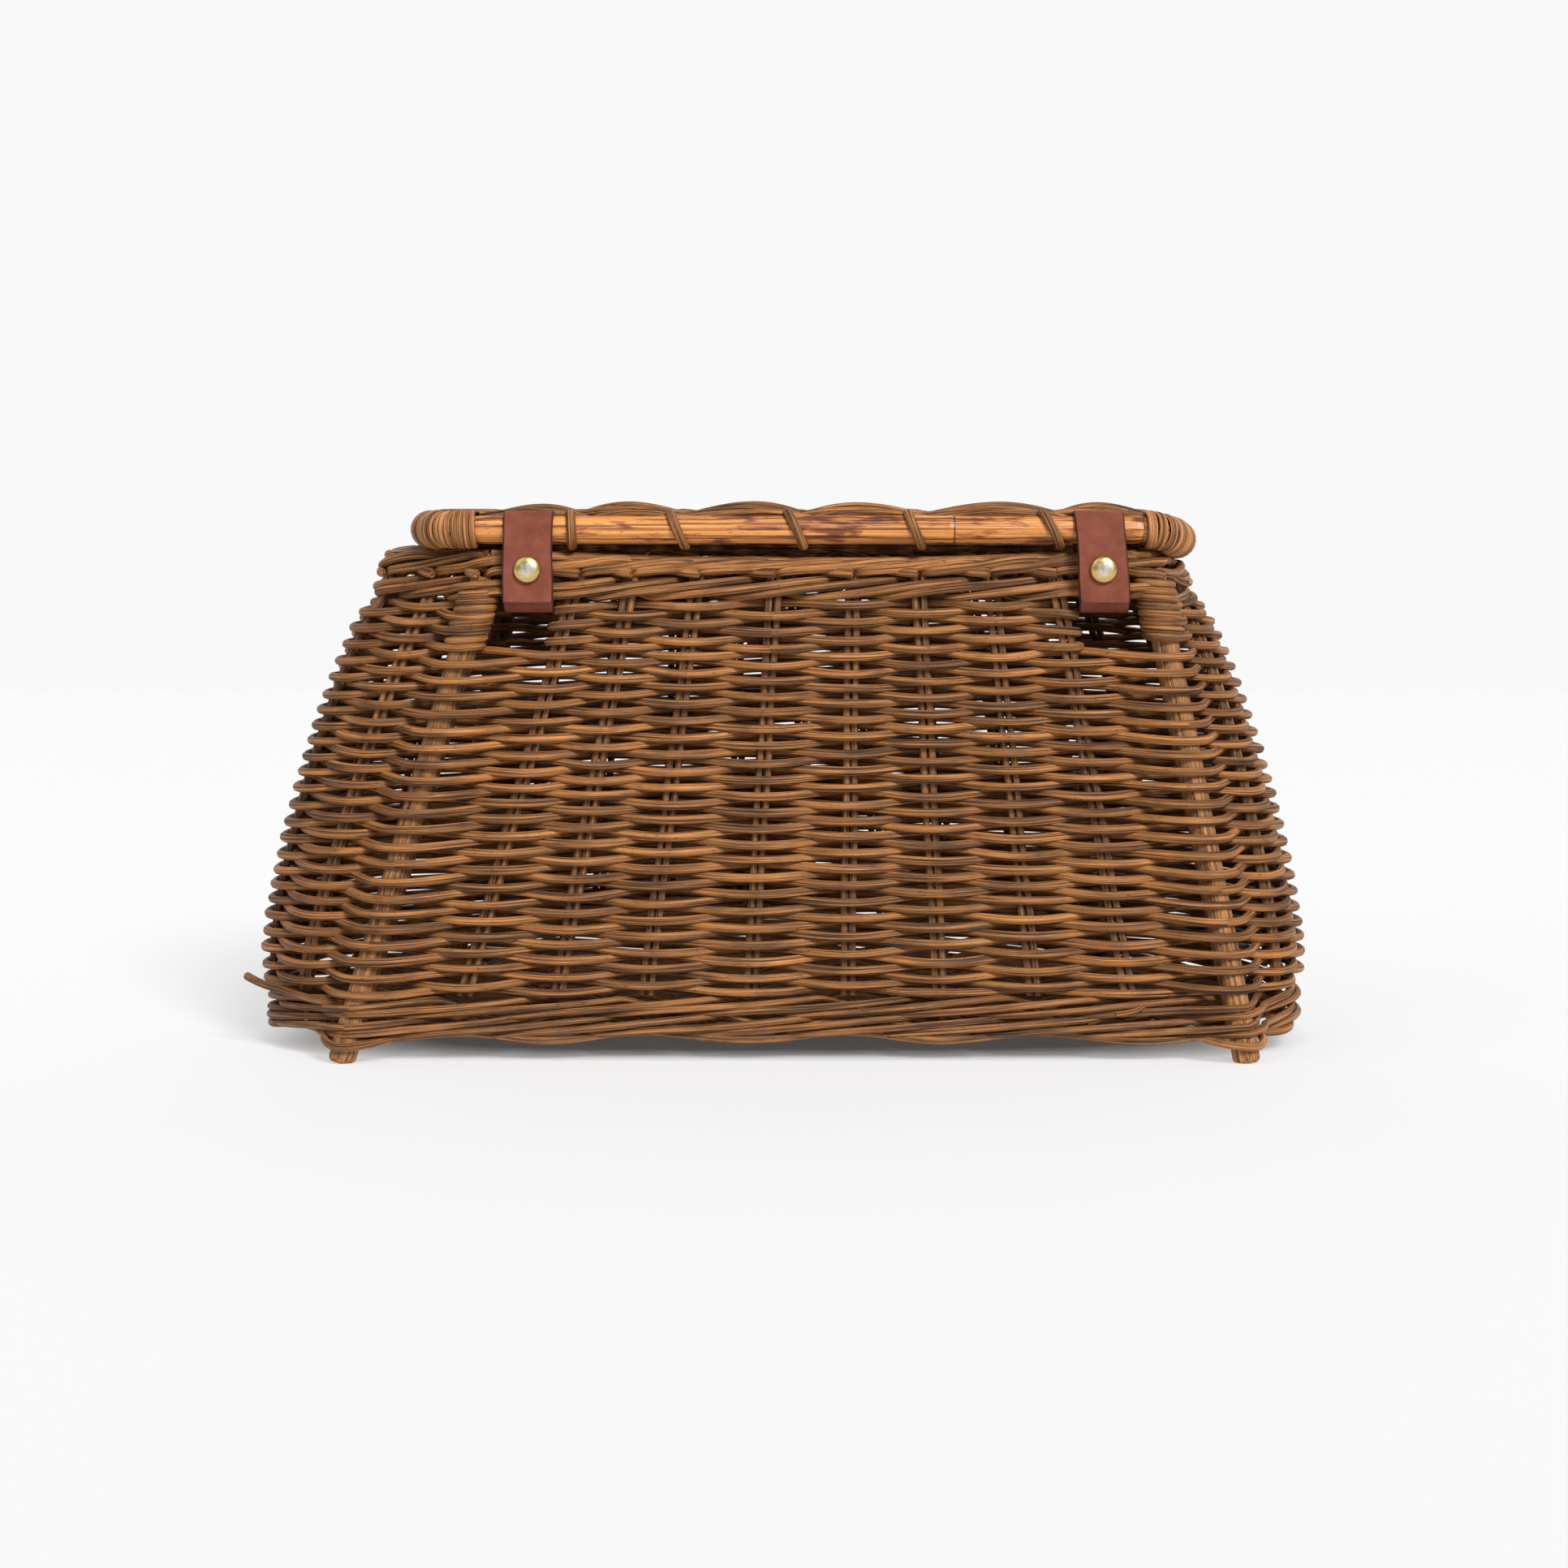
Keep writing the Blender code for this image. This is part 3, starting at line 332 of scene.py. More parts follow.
class Strands:
    """Gathers tubes and strips into one mesh, with a grain direction and a tone for each strand."""

    def __init__(self):
        self.points = []
        self.normals = []
        self.faces = []
        self.grain = []
        self.tone = []
        self.count = 0

    def add_points(self, points, normals, grain, tone):
        """Adds one ring or a grid of rings and returns the index of each point."""
        shape = points.shape[:-1]
        size = int(np.prod(shape))
        index = np.arange(size).reshape(shape) + self.count
        self.points.append(points.reshape(-1, 3))
        self.normals.append(np.broadcast_to(normals, points.shape).reshape(-1, 3))
        self.grain.append(np.broadcast_to(grain, points.shape).reshape(-1, 3))
        self.tone.append(np.broadcast_to(tone, shape).ravel().astype(float))
        self.count += size
        return index

    def skin(self, index):
        """Faces over a grid of rings; the ends are left open for caps."""
        below = index[:-1]
        above = index[1:]
        quads = np.stack((below, above, np.roll(above, -1, axis=1), np.roll(below, -1, axis=1)), axis=-1)
        self.faces.append(quads.reshape(-1, 4))

    def fan(self, index, centre, away, grain, tone, flip):
        """Closes a ring with triangles to one point."""
        top = self.add_points(centre[None], away, grain, tone)
        middle = np.full(len(index), top[0])
        following = np.roll(index, -1)
        order = (middle, following, index) if flip else (middle, index, following)
        self.faces.append(np.stack((*order, np.full(len(index), -1)), axis=-1))

    def tube(self, path, across, thick=None, normal=None, sides=8, tone=None, ends="cut", ripple=0.0,
             along=None, run=None, seed=None):
        """A strand along path: half-width across, half-thickness thick in the direction of normal."""
        path = np.asarray(path, dtype=float)
        n = len(path)
        across = filled(across, (n,))
        thick = across if thick is None else filled(thick, (n,))
        along = directions(path) if along is None else along
        normal = steady_normals(along) if normal is None else filled(normal, (n, 3))
        side = unit(np.cross(along, normal))
        up = np.cross(side, along)
        run = distances(path) if run is None else run
        tone = rng.random() if tone is None else tone
        seed = rng.random(3) * 0.5 if seed is None else seed
        turn = 2 * pi * np.arange(sides) / sides
        swell = 1 + ripple * np.sin(3 * turn + seed[0] * 9)[None, :]
        u = across[:, None] * np.cos(turn)[None, :] * swell
        v = thick[:, None] * np.sin(turn)[None, :] * swell
        rings = path[:, None] + side[:, None] * u[..., None] + up[:, None] * v[..., None]
        lean = np.cos(turn)[None, :] / across[:, None], np.sin(turn)[None, :] / thick[:, None]
        normals = unit(side[:, None] * lean[0][..., None] + up[:, None] * lean[1][..., None])
        grain = np.stack((u, v, np.broadcast_to(run[:, None], u.shape)), axis=-1) + seed
        index = self.add_points(rings, normals, grain, tone)
        self.skin(index)
        if ends:
            for which, sign, flip in ENDS:
                self.end(path[which], along[which] * sign, rings[which], normals[which], index[which],
                         grain[which], tone, flip, ends, min(across[which], thick[which]))
        return index

    def end(self, centre, away, ring, normals, index, grain, tone, flip, ends, radius):
        """Closes a strand: 'cut' has a small worn rim, 'round' is a dome."""
        levels = CUT_END if ends == "cut" else ROUND_END
        last = index
        for share, rise, tilt in levels:
            smaller = centre + (ring - centre) * share + away * radius * rise
            middle = grain.mean(axis=0)
            fresh = self.add_points(smaller, unit(normals * (1 - tilt) + away * tilt),
                                    middle + (grain - middle) * share, tone)
            pair = (last, fresh, np.roll(fresh, -1), np.roll(last, -1))
            self.faces.append(np.stack(pair[::-1] if flip else pair, axis=-1))
            last = fresh
        top = centre + away * radius * levels[-1][1]
        self.fan(last, top, away, grain.mean(axis=0), tone, not flip)

    def to_object(self, name, material):
        mesh = bpy.data.meshes.new(name)
        points = np.concatenate(self.points)
        faces = np.concatenate(self.faces)
        quads = faces[:, 3] >= 0
        sizes = np.where(quads, 4, 3)
        corners = faces[faces >= 0]
        mesh.vertices.add(len(points))
        mesh.vertices.foreach_set("co", points.astype(np.float32).ravel())
        mesh.loops.add(len(corners))
        mesh.loops.foreach_set("vertex_index", corners.astype(np.int32))
        mesh.polygons.add(len(faces))
        starts = np.concatenate(([0], np.cumsum(sizes)[:-1]))
        mesh.polygons.foreach_set("loop_start", starts.astype(np.int32))
        mesh.polygons.foreach_set("loop_total", sizes.astype(np.int32))
        mesh.update(calc_edges=True)
        mesh.validate()
        mesh.shade_smooth()
        mesh.normals_split_custom_set_from_vertices(np.concatenate(self.normals).astype(np.float32))
        grain = mesh.attributes.new("grain", "FLOAT_VECTOR", "POINT")
        grain.data.foreach_set("vector", np.concatenate(self.grain).astype(np.float32).ravel())
        tone = mesh.attributes.new("tone", "FLOAT", "POINT")
        tone.data.foreach_set("value", np.concatenate(self.tone).astype(np.float32))
        obj = bpy.data.objects.new(name, mesh)
        bpy.context.scene.collection.objects.link(obj)
        mesh.materials.append(material)
        return obj


def place(strands, name, material, node, body):
    """Makes the visual piece, in the place of its CAD node and on that node's body."""
    obj = strands.to_object(name, material)
    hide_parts(node)
    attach(obj, body)
    return obj


def steady_normals(along):
    """A normal for each point that turns as little as it can along the path."""
    first = np.array((0.0, 0.0, 1.0)) if abs(along[0][2]) < 0.8 else np.array((0.0, 1.0, 0.0))
    normals = []
    normal = first
    for direction in along:
        normal = normal - direction * normal.dot(direction)
        normal = normal / (np.linalg.norm(normal) + 1e-12)
        normals.append(normal)
    return np.array(normals)


# ---------------------------------------------------------------- materials

class Nodes:
    """Short calls for building one material's node tree."""

    def __init__(self, name, colour, roughness):
        self.material = bpy.data.materials.new(name)
        self.material.use_nodes = True
        self.tree = self.material.node_tree
        self.shader = self.tree.nodes["Principled BSDF"]
        self.shader.inputs["Base Color"].default_value = (*colour, 1.0)
        self.shader.inputs["Roughness"].default_value = roughness

    def node(self, kind, **settings):
        made = self.tree.nodes.new("ShaderNode" + kind)
        for key, value in settings.items():
            setattr(made, key, value)
        return made

    def link(self, source, target):
        self.tree.links.new(source, target)

    def attribute(self, name, output):
        return self.node("Attribute", attribute_name=name).outputs[output]

    def feed(self, value, socket):
        """Links a value that comes from a node, and sets one that is plain."""
        if hasattr(value, "is_linked"):
            self.link(value, socket)
        else:
            socket.default_value = (*value, 1.0) if isinstance(value, tuple) else value

    def scaled(self, vector, scale, shift=(0.0, 0.0, 0.0)):
        mapping = self.node("Mapping")
        mapping.inputs["Scale"].default_value = scale
        mapping.inputs["Location"].default_value = shift
        self.link(vector, mapping.inputs["Vector"])
        return mapping.outputs["Vector"]

    def noise(self, vector, scale, shift=(0.0, 0.0, 0.0), detail=3.0, roughness=0.55, distortion=0.0):
        made = self.node("TexNoise")
        made.inputs["Scale"].default_value = 1.0
        made.inputs["Detail"].default_value = detail
        made.inputs["Roughness"].default_value = roughness
        made.inputs["Distortion"].default_value = distortion
        self.link(self.scaled(vector, scale, shift), made.inputs["Vector"])
        return made.outputs["Fac"]

    def ramp(self, value, *stops):
        made = self.node("ValToRGB")
        elements = made.color_ramp.elements
        while len(elements) < len(stops):
            elements.new(0.5)
        for element, (position, colour) in zip(elements, stops):
            element.position = position
            element.color = (*colour, 1.0) if isinstance(colour, tuple) else (colour, colour, colour, 1.0)
        self.link(value, made.inputs["Fac"])
        return made.outputs["Color"]

    def mix(self, kind, factor, a, b):
        made = self.node("Mix", data_type="RGBA", blend_type=kind)
        for number, value in ((0, factor), (6, a), (7, b)):
            self.feed(value, made.inputs[number])
        return made.outputs[2]

    def maths(self, operation, a, b):
        made = self.node("Math", operation=operation)
        self.feed(a, made.inputs[0])
        self.feed(b, made.inputs[1])
        return made.outputs[0]

    def bump(self, height, distance, strength, after=None):
        made = self.node("Bump")
        made.inputs["Strength"].default_value = strength
        made.inputs["Distance"].default_value = distance
        self.link(height, made.inputs["Height"])
        if after is not None:
            self.link(after, made.inputs["Normal"])
        return made.outputs["Normal"]

    def finish(self, **sockets):
        """Feeds the shader's sockets, whose names have _ for each space, and returns the material."""
        for name, value in sockets.items():
            self.feed(value, self.shader.inputs[name.replace("_", " ")])
        return self.material


def cane_material(name, dark, mid, light):
    """Stained round cane: fine dark grooves and golden ridges along each strand, mottled in patches."""
    n = Nodes(name, mid, 0.55)
    grain = n.attribute("grain", "Vector")
    tone = n.attribute("tone", "Fac")
    fine = n.noise(grain, (2600, 2600, 30), detail=2.0, roughness=0.5)
    broad = n.noise(grain, (900, 900, 16), (3.1, 1.7, 0.4), 2.0, 0.5)
    patches = n.noise(grain, (170, 170, 70), (0.3, 5.2, 1.1), 4.0, 0.65)
    specks = n.noise(grain, (1300, 1300, 520), (7.7, 0.6, 2.3), 2.0, 0.5)
    ridges = n.maths("ADD", n.maths("MULTIPLY", fine, 0.55), n.maths("MULTIPLY", broad, 0.45))
    glint = tuple(min(1.0, c * 1.35) for c in light)
    colour = n.ramp(ridges, (0.38, dark), (0.455, mid), (0.55, light), (0.66, glint))
    colour = n.mix("MULTIPLY", 1.0, colour, n.ramp(tone, (0.0, 0.74), (0.5, 0.96), (1.0, 1.16)))
    cloud = n.ramp(patches, (0.30, (0.60, 0.55, 0.52)), (0.48, (0.96, 0.94, 0.92)),
                   (0.68, (1.22, 1.14, 1.02)))
    colour = n.mix("MULTIPLY", 1.0, colour, cloud)
    spots = n.ramp(specks, (0.67, 0.0), (0.73, 1.0))
    colour = n.mix("MIX", n.maths("MULTIPLY", spots, 0.75), colour, tuple(c * 0.3 for c in dark))
    return n.finish(Base_Color=colour, Roughness=n.ramp(ridges, (0.40, 0.66), (0.62, 0.44)),
                    Specular_IOR_Level=0.45, Normal=n.bump(ridges, 0.0013, 1.0))


def rod_material():
    """Bare rattan skin: golden, with dark lengthwise cracks, stains and pores."""
    n = Nodes("peeled_rattan", (0.56, 0.27, 0.085), 0.45)
    grain = n.attribute("grain", "Vector")
    fine = n.noise(grain, (900, 900, 9), roughness=0.6)
    stains = n.noise(grain, (240, 240, 55), (1.3, 0.2, 4.0), 4.0, 0.6, 0.4)
    pores = n.noise(grain, (1600, 1600, 500), (0.5, 2.0, 1.0), 2.0)
    colour = n.ramp(fine, (0.34, (0.11, 0.031, 0.008)), (0.41, (0.36, 0.118, 0.024)),
                    (0.50, (0.61, 0.232, 0.047)), (0.64, (0.80, 0.370, 0.093)))
    stain = n.ramp(stains, (0.36, (0.26, 0.15, 0.10)), (0.43, (0.62, 0.45, 0.36)), (0.49, (1.0, 0.96, 0.90)))
    colour = n.mix("MULTIPLY", 1.0, colour, stain)
    spots = n.ramp(pores, (0.66, 0.0), (0.72, 1.0))
    colour = n.mix("MIX", n.maths("MULTIPLY", spots, 0.75), colour, (0.06, 0.022, 0.01))
    crack = n.ramp(n.attribute("tone", "Fac"), (0.12, 0.0), (0.75, 1.0))
    colour = n.mix("MIX", crack, colour, (0.035, 0.014, 0.007))
    return n.finish(Base_Color=colour, Roughness=n.ramp(stains, (0.35, 0.62), (0.6, 0.36)),
                    Coat_Weight=0.12, Coat_Roughness=0.25, Normal=n.bump(fine, 0.0004, 0.7))


def leather_material():
    """Matt vegetable-tanned leather: pebbled skin, scuffs, and darker cut edges."""
    n = Nodes("red_brown_leather", (0.165, 0.036, 0.024), 0.62)
    grain = n.attribute("grain", "Vector")
    edge = n.ramp(n.attribute("tone", "Fac"), (0.35, 0.0), (0.85, 0.9))
    cells = n.node("TexVoronoi", feature="DISTANCE_TO_EDGE")
    cells.inputs["Scale"].default_value = 1.0
    n.link(n.scaled(grain, (3600, 3600, 3600)), cells.inputs["Vector"])
    pebble = n.ramp(cells.outputs["Distance"], (0.0, 0.0), (0.35, 1.0))
    cloud = n.noise(grain, (130, 130, 130), detail=4.0, roughness=0.6)
    scuff = n.noise(grain, (520, 160, 520), (4.0, 1.0, 2.0), 5.0, 0.7)
    colour = n.ramp(cloud, (0.30, (0.170, 0.040, 0.020)), (0.52, (0.225, 0.056, 0.028)),
                    (0.72, (0.275, 0.076, 0.040)))
    colour = n.mix("MULTIPLY", 0.35, colour, n.ramp(pebble, (0.0, (0.55, 0.5, 0.5)), (0.6, (1.0, 1.0, 1.0))))
    colour = n.mix("MIX", n.ramp(scuff, (0.60, 0.0), (0.76, 0.45)), colour, (0.330, 0.110, 0.062))
    colour = n.mix("MIX", edge, colour, (0.045, 0.014, 0.010))
    return n.finish(Base_Color=colour, Roughness=n.ramp(cloud, (0.3, 0.70), (0.7, 0.54)),
                    Specular_IOR_Level=0.28, Normal=n.bump(scuff, 0.00018, 0.5, n.bump(pebble, 0.00010, 0.6)))


def brass_material():
    """Gilt rivet caps with the gilding worn off the crowns."""
    n = Nodes("worn_brass", (0.64, 0.50, 0.28), 0.3)
    grain = n.attribute("grain", "Vector")
    wear = n.noise(grain, (420, 420, 420), detail=5.0, roughness=0.65)
    spots = n.noise(grain, (1500, 1500, 1500), (2.0, 1.0, 0.0), 2.0)
    uneven = n.maths("MULTIPLY", n.maths("SUBTRACT", wear, 0.5), 1.3)
    worn = n.maths("ADD", n.attribute("tone", "Fac"), uneven)
    colour = n.ramp(worn, (0.36, (0.66, 0.47, 0.17)), (0.60, (0.74, 0.67, 0.52)), (0.85, (0.78, 0.76, 0.72)))
    pits = n.ramp(spots, (0.66, 0.0), (0.74, 1.0))
    colour = n.mix("MIX", n.maths("MULTIPLY", pits, 0.8), colour, (0.16, 0.09, 0.03))
    return n.finish(Base_Color=colour, Metallic=1.0, Roughness=n.ramp(wear, (0.3, 0.24), (0.7, 0.42)),
                    Normal=n.bump(wear, 0.00012, 0.5))


def floor_material():
    """Pale paper with a painted light: it glows a little, so that shadows stay faint, except under the
    basket, where the glow fades out as a painted shadow.
    """
    n = Nodes("pale_floor", (0.36, 0.36, 0.36), 0.9)
    spot = n.node("SeparateXYZ")
    n.link(n.node("TexCoord").outputs["Object"], spot.inputs["Vector"])
    away = n.maths("DIVIDE", spot.outputs["Y"], BACKDROP_Y)
    paper = n.ramp(away, (0.0, 0.36), (0.25, 0.345), (1.0, 0.29))
    fourths = []
    for axis, half in zip("XY", PAINTED_SHADOW_HALF):
        share = n.maths("DIVIDE", spot.outputs[axis], half)
        square = n.maths("MULTIPLY", share, share)
        fourths.append(n.maths("MULTIPLY", square, square))
    outside = n.maths("ADD", *fourths)
    # painted shadow: the glow is 0.53 in the open and fades to 0.06 under the basket
    glow_and_painted_shadow = n.ramp(n.maths("DIVIDE", outside, 2.0), (0.20, 0.06), (0.85, 0.53))
    return n.finish(Base_Color=paper, Emission_Color=glow_and_painted_shadow, Emission_Strength=1.0, Specular_IOR_Level=0.2)


# ---------------------------------------------------------------- walls

SIDES = 9
LOOP_STRETCH = 1.75  # how much wider than deep a turn round a pair of stakes is


def ring_places():
    """Where a weaver has its sections: closer together beside the posts."""
    places = [np.array([float(BAYS)])]
    for bay in range(BAYS):
        beside_post = bay in POST_BAYS.values() or (bay + 1) % BAYS in POST_BAYS.values()
        count = 18 if beside_post else 10
        places.append(bay + np.arange(count) / count)
    return np.sort(np.concatenate(places))


RING = ring_places()


def reach_at(bay):
    return POST_REACH if bay % BAYS in POST_BAYS.values() else STAKE_REACH


def row_side(row, bay):
    """1 where this row passes outside this stake, -1 where it passes inside."""
    return 1 if (row + bay) % 2 == 0 else -1


class Row:
    """One weaver round the whole basket, with its own small irregularities."""

    def __init__(self, number):
        self.number = number
        self.z = WEAVE_BOTTOM + (number + 0.5) * ROW_PITCH
        self.radius = WEAVER * rng.uniform(0.90, 1.06)
        self.tone = rng.random()
        self.lift = rng.normal(0, 0.00022, BAYS)
        self.dip = WEAVER_DIP * rng.uniform(0.75, 1.35, BAYS)
        self.slack = rng.uniform(0.94, 1.08, BAYS)
        self.trace()

    def shape(self, bays):
        """Height and offset at these bays."""
        bays = np.asarray(bays, dtype=float)
        here = np.floor(bays).astype(int)
        f = bays - here
        ease = (1 - np.cos(pi * f)) / 2
        offset = self.at_stakes(here) * (1 - ease) + self.at_stakes(here + 1) * ease
        turn = np.array([row_side(self.number, bay) for bay in here]) * np.cos(pi * f)
        dip = self.dip[here % BAYS] * (1 - f) + self.dip[(here + 1) % BAYS] * f
        lift = self.lift[here % BAYS] * (1 - ease) + self.lift[(here + 1) % BAYS] * ease
        wave = 0.0005 * np.sin(2 * pi * 3 * bays / BAYS + self.number * 0.35)
        z = self.z + lift + wave - dip * turn
        return np.clip(z, WEAVE_BOTTOM + self.radius * 0.9, WEAVE_TOP - self.radius * 0.5), offset

    def at_stakes(self, bays):
        return np.array([row_side(self.number, bay) * reach_at(bay) * self.slack[bay % BAYS] for bay in bays])

    def trace(self):
        """The whole ring once, so that neighbouring panels share their sections exactly."""
        z, offset = self.shape(RING)
        self.path = eased_at_posts(on_wall(RING, z, offset))
        self.normal = outward_3d(RING, z)
        ring = np.concatenate((self.path[-2:-1], self.path, self.path[1:2]))
        self.along = unit(ring[2:] - ring[:-2])
        self.run = distances(self.path)
        self.joint = self.run[np.searchsorted(RING, rng.choice(list(POST_BAYS.values())))]
        self.seed = rng.random(3) * 0.5

    def part(self, start, stop):
        """The slice of the traced ring between two bays."""
        return slice(np.searchsorted(RING, start), np.searchsorted(RING, stop) + 1)

    def towards(self, stake, far):
        """Its path from a bay to the stake where it turns back."""
        part = self.path[self.part(min(stake, far), max(stake, far))]
        return part[::-1] if stake < far else part

    def part_run(self, start, stop):
        """Lengths along the weaver, counted from the post where it was joined."""
        run = np.mod(self.run[self.part(start, stop)] - self.joint + 1e-7, self.run[-1])
        if run[-1] < run[-2]:
            run[-1] += self.run[-1]
        return run


def eased_at_posts(path):
    """Rounds a closed path where it turns the two hinge posts."""
    eased_path = path
    for _ in range(5):
        ring = np.concatenate((eased_path[-2:-1], eased_path, eased_path[1:2]))
        eased_path = (ring[:-2] + 2 * ring[1:-1] + ring[2:]) / 4
    gap = np.minimum(np.minimum(RING, BAYS - RING), np.abs(RING - HINGE_BAYS))
    share = np.exp(-(gap / 0.45) ** 2)[:, None]
    away = outward_3d(RING, path[:, 2]) * 0.0004
    return path * (1 - share) + (eased_path + away) * share


def outward_3d(bays, z):
    xy = outward_xy(np.asarray(bays, dtype=float), np.asarray(z, dtype=float))
    return np.concatenate((xy, np.zeros((len(xy), 1))), axis=1)


def loop_points(bay, z, reach, rise, start, turns, onward_sign, stretch=1.0):
    """Turns of a strand about a stake or post; start is an angle, 0 outward and pi / 2 towards the slot."""
    bays = np.array([float(bay)])
    spot = on_wall(bays, z, 0.0)[0]
    away = outward_3d(bays, np.array([float(z)]))[0]
    onward = np.array((-away[1], away[0], 0.0))
    count = max(6, int(abs(turns) * 22))
    angles = start + 2 * pi * turns * np.linspace(0, 1, count)
    out = reach * np.cos(angles)[:, None] * away
    along = reach * stretch * np.sin(angles)[:, None] * onward * onward_sign
    height = np.linspace(0, rise, count)[:, None]
    leaning = (on_wall(bays, RIM_Z, 0.0) - on_wall(bays, BASE_Z, 0.0))[0] / (RIM_Z - BASE_Z)
    return spot + out + along + height * leaning


def hairpin(strands, lower, upper, stake, onward_sign, far):
    """Two rows beside a slot that are one strand: in behind the stake and back in front of it."""
    coming = lower.towards(stake, far)
    going = upper.towards(stake, far)[::-1]
    rise = going[0][2] - coming[-1][2]
    loop = loop_points(stake, coming[-1][2], STAKE_REACH, rise, pi, -0.5, onward_sign, LOOP_STRETCH)
    path = np.concatenate((coming[:-3], loop, going[3:]))
    strands.tube(even(path, 0.0024), lower.radius, sides=SIDES, tone=lower.tone)


def loose_end(strands, row, stake, onward_sign, far):
    """A row beside a slot with no partner: it goes round the stake and ends inside."""
    path = row.towards(stake, far)
    if row_side(row.number, stake) > 0:
        loop = loop_points(stake, path[-1][2], STAKE_REACH, 0.0008, 0.0, 0.45, onward_sign, LOOP_STRETCH)
        path = np.concatenate((path[:-3], loop))
    strands.tube(even(path, 0.0024), row.radius, sides=SIDES, tone=row.tone)


def coiled_round_post(strands, row, post, onward_sign, far):
    """A flank row that comes over the post outside and winds on round it to fill the slot's edge."""
    path = row.towards(post, far)
    if row_side(row.number, post) > 0:
        turns = 3.42 if row.number >= ROWS - 2 else 1.42
        rise = ROW_PITCH * turns * 0.95
        loop = loop_points(post, path[-1][2], POST_REACH - 0.0002, rise, 0.0, turns, onward_sign)
        path = np.concatenate((path[:-5], loop))
    strands.tube(even(path, 0.0022), row.radius, sides=SIDES, tone=row.tone)


def even(path, step):
    """The same route with its points evenly spaced and its corners eased."""
    run = distances(path)
    wanted = np.linspace(0, run[-1], int(run[-1] / step) + 2)
    return rounded(np.stack([np.interp(wanted, run, column) for column in path.T], axis=1), 1)


def slot_side(strands, rows, stake, onward_sign, far):
    """Pairs the rows that turn back at one side of a slot."""
    waiting = None
    for row in rows:
        if row_side(row.number, stake) < 0:
            waiting = row
        elif waiting is None:
            loose_end(strands, row, stake, onward_sign, far)
        else:
            hairpin(strands, waiting, row, stake, onward_sign, far)
            waiting = None
    if waiting is not None:
        loose_end(strands, waiting, stake, onward_sign, far)


SPRUNG_WEAVER = (  # bays along, offset out, height
    (29.80, -0.0010, 0.0205),
    (29.45, 0.0052, 0.0218),
    (29.00, 0.0064, 0.0232),
    (28.60, 0.0080, 0.0250),
    (28.30, 0.0114, 0.0276),
)
SPLINTER = (
    (7.84, 0.0046, 0.0182),
    (7.95, 0.0056, 0.0190),
    (8.05, 0.0064, 0.0201),
    (8.13, 0.0072, 0.0219),
)


FIBRES = (  # bay, bays that it leans, rise
    (2.1, 0.16, 0.0040), (2.6, -0.12, 0.0032), (4.4, 0.10, 0.0036), (5.7, -0.2, 0.0026), (6.9, 0.14, 0.0034),
)


def stray(strands, course, across, thick, ends="cut"):
    """A short end that has sprung out of the weave."""
    fine = smooth(course, 6)
    path = on_wall(fine[:, 0], fine[:, 2], fine[:, 1])
    strands.tube(path, across, thick, outward_3d(fine[:, 0], fine[:, 2]), sides=8, ends=ends)


def fibres(strands):
    """A few hairs of cane that stand up between the border and the rod."""
    for bay, lean, rise in FIBRES:
        low = BORDER_TOP - float(hinge_sag(bay)) - 0.0022
        course = ((bay, 0.0010, low), (bay + lean * 0.3, 0.0006, low + rise * 0.5),
                  (bay + lean * 0.8, -0.0004, low + rise * 0.9), (bay + lean * 1.4, -0.0016, low + rise))
        stray(strands, course, 0.00014, 0.00014)


def wall_panel(name, material):
    start, stop = PANELS[name]
    strands = Strands()
    broken = [row for row in ALL_ROWS if row.z > SLOT_BOTTOM]
    for row in ALL_ROWS:
        if row not in broken or name == "front":
            part = row.part(start, stop)
            strands.tube(row.path[part], row.radius, row.radius, row.normal[part], SIDES, row.tone, "",
                         along=row.along[part], run=row.part_run(start, stop), seed=row.seed)
        elif name == "right":
            coiled_round_post(strands, row, start, -1, stop)
        elif name == "left":
            coiled_round_post(strands, row, stop, 1, start)
    if name == "hinge":
        middle = (start + stop) // 2
        slot_side(strands, broken, 1, -1, middle)
        slot_side(strands, broken, 8, 1, middle)
        stray(strands, SPLINTER, 0.0010, 0.0004)
    if name == "left":
        stray(strands, SPRUNG_WEAVER, WEAVER * 0.92, WEAVER * 0.92)
    place(strands, name + "_wall_canes", material, name + "_wall_weave", "basket")


def stake_pair(name, bay, material):
    """Two round canes side by side in the place of one stake."""
    strands = Strands()
    z = np.linspace(0.0245, TOP_WALE_TOP, 26)
    bays = np.full(len(z), float(bay))
    axis = on_wall(bays, z, 0.0)
    away = outward_3d(bays, z)
    onward = np.stack((-away[:, 1], away[:, 0], np.zeros(len(z))), axis=1)
    for side in (-1, 1):
        wander = 0.00018 * np.sin(z * rng.uniform(60, 110) + rng.uniform(0, 6))
        shift = side * (STAKE_CANE + 0.00012) + wander
        radius = STAKE_CANE * rng.uniform(0.95, 1.0)
        path = axis + onward * shift[:, None]
        path[:, 2] -= droop(path[:, 0]) * np.clip((z - 0.15) / 0.04, 0, 1)
        strands.tube(path, radius, sides=10, ripple=0.03)
    place(strands, name + "_canes", material, name, "basket")


def post(name, bay, material):
    """A thick cane with its bark, worn round at the foot."""
    strands = Strands()
    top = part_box(name + "_post")[1][2]
    z = np.concatenate(([0.0, 0.0006, 0.0016], np.linspace(0.004, top, 44)))
    bays = np.full(len(z), float(bay))
    path = on_wall(bays, z, 0.0)
    radius = POST_RADIUS * (0.985 + 0.015 * np.sin(z * 95 + bay))
    radius[:3] = POST_RADIUS * np.array((0.84, 0.94, 0.98))
    strands.tube(path, radius, sides=22, ripple=0.02, ends="cut", normal=outward_3d(bays, z))
    flatten_foot(place(strands, name + "_post_cane", material, name + "_post", "basket"))


def flatten_foot(obj):
    for vertex in obj.data.vertices:
        vertex.co.z = max(vertex.co.z, 0.0)


# ---------------------------------------------------------------- wales and border

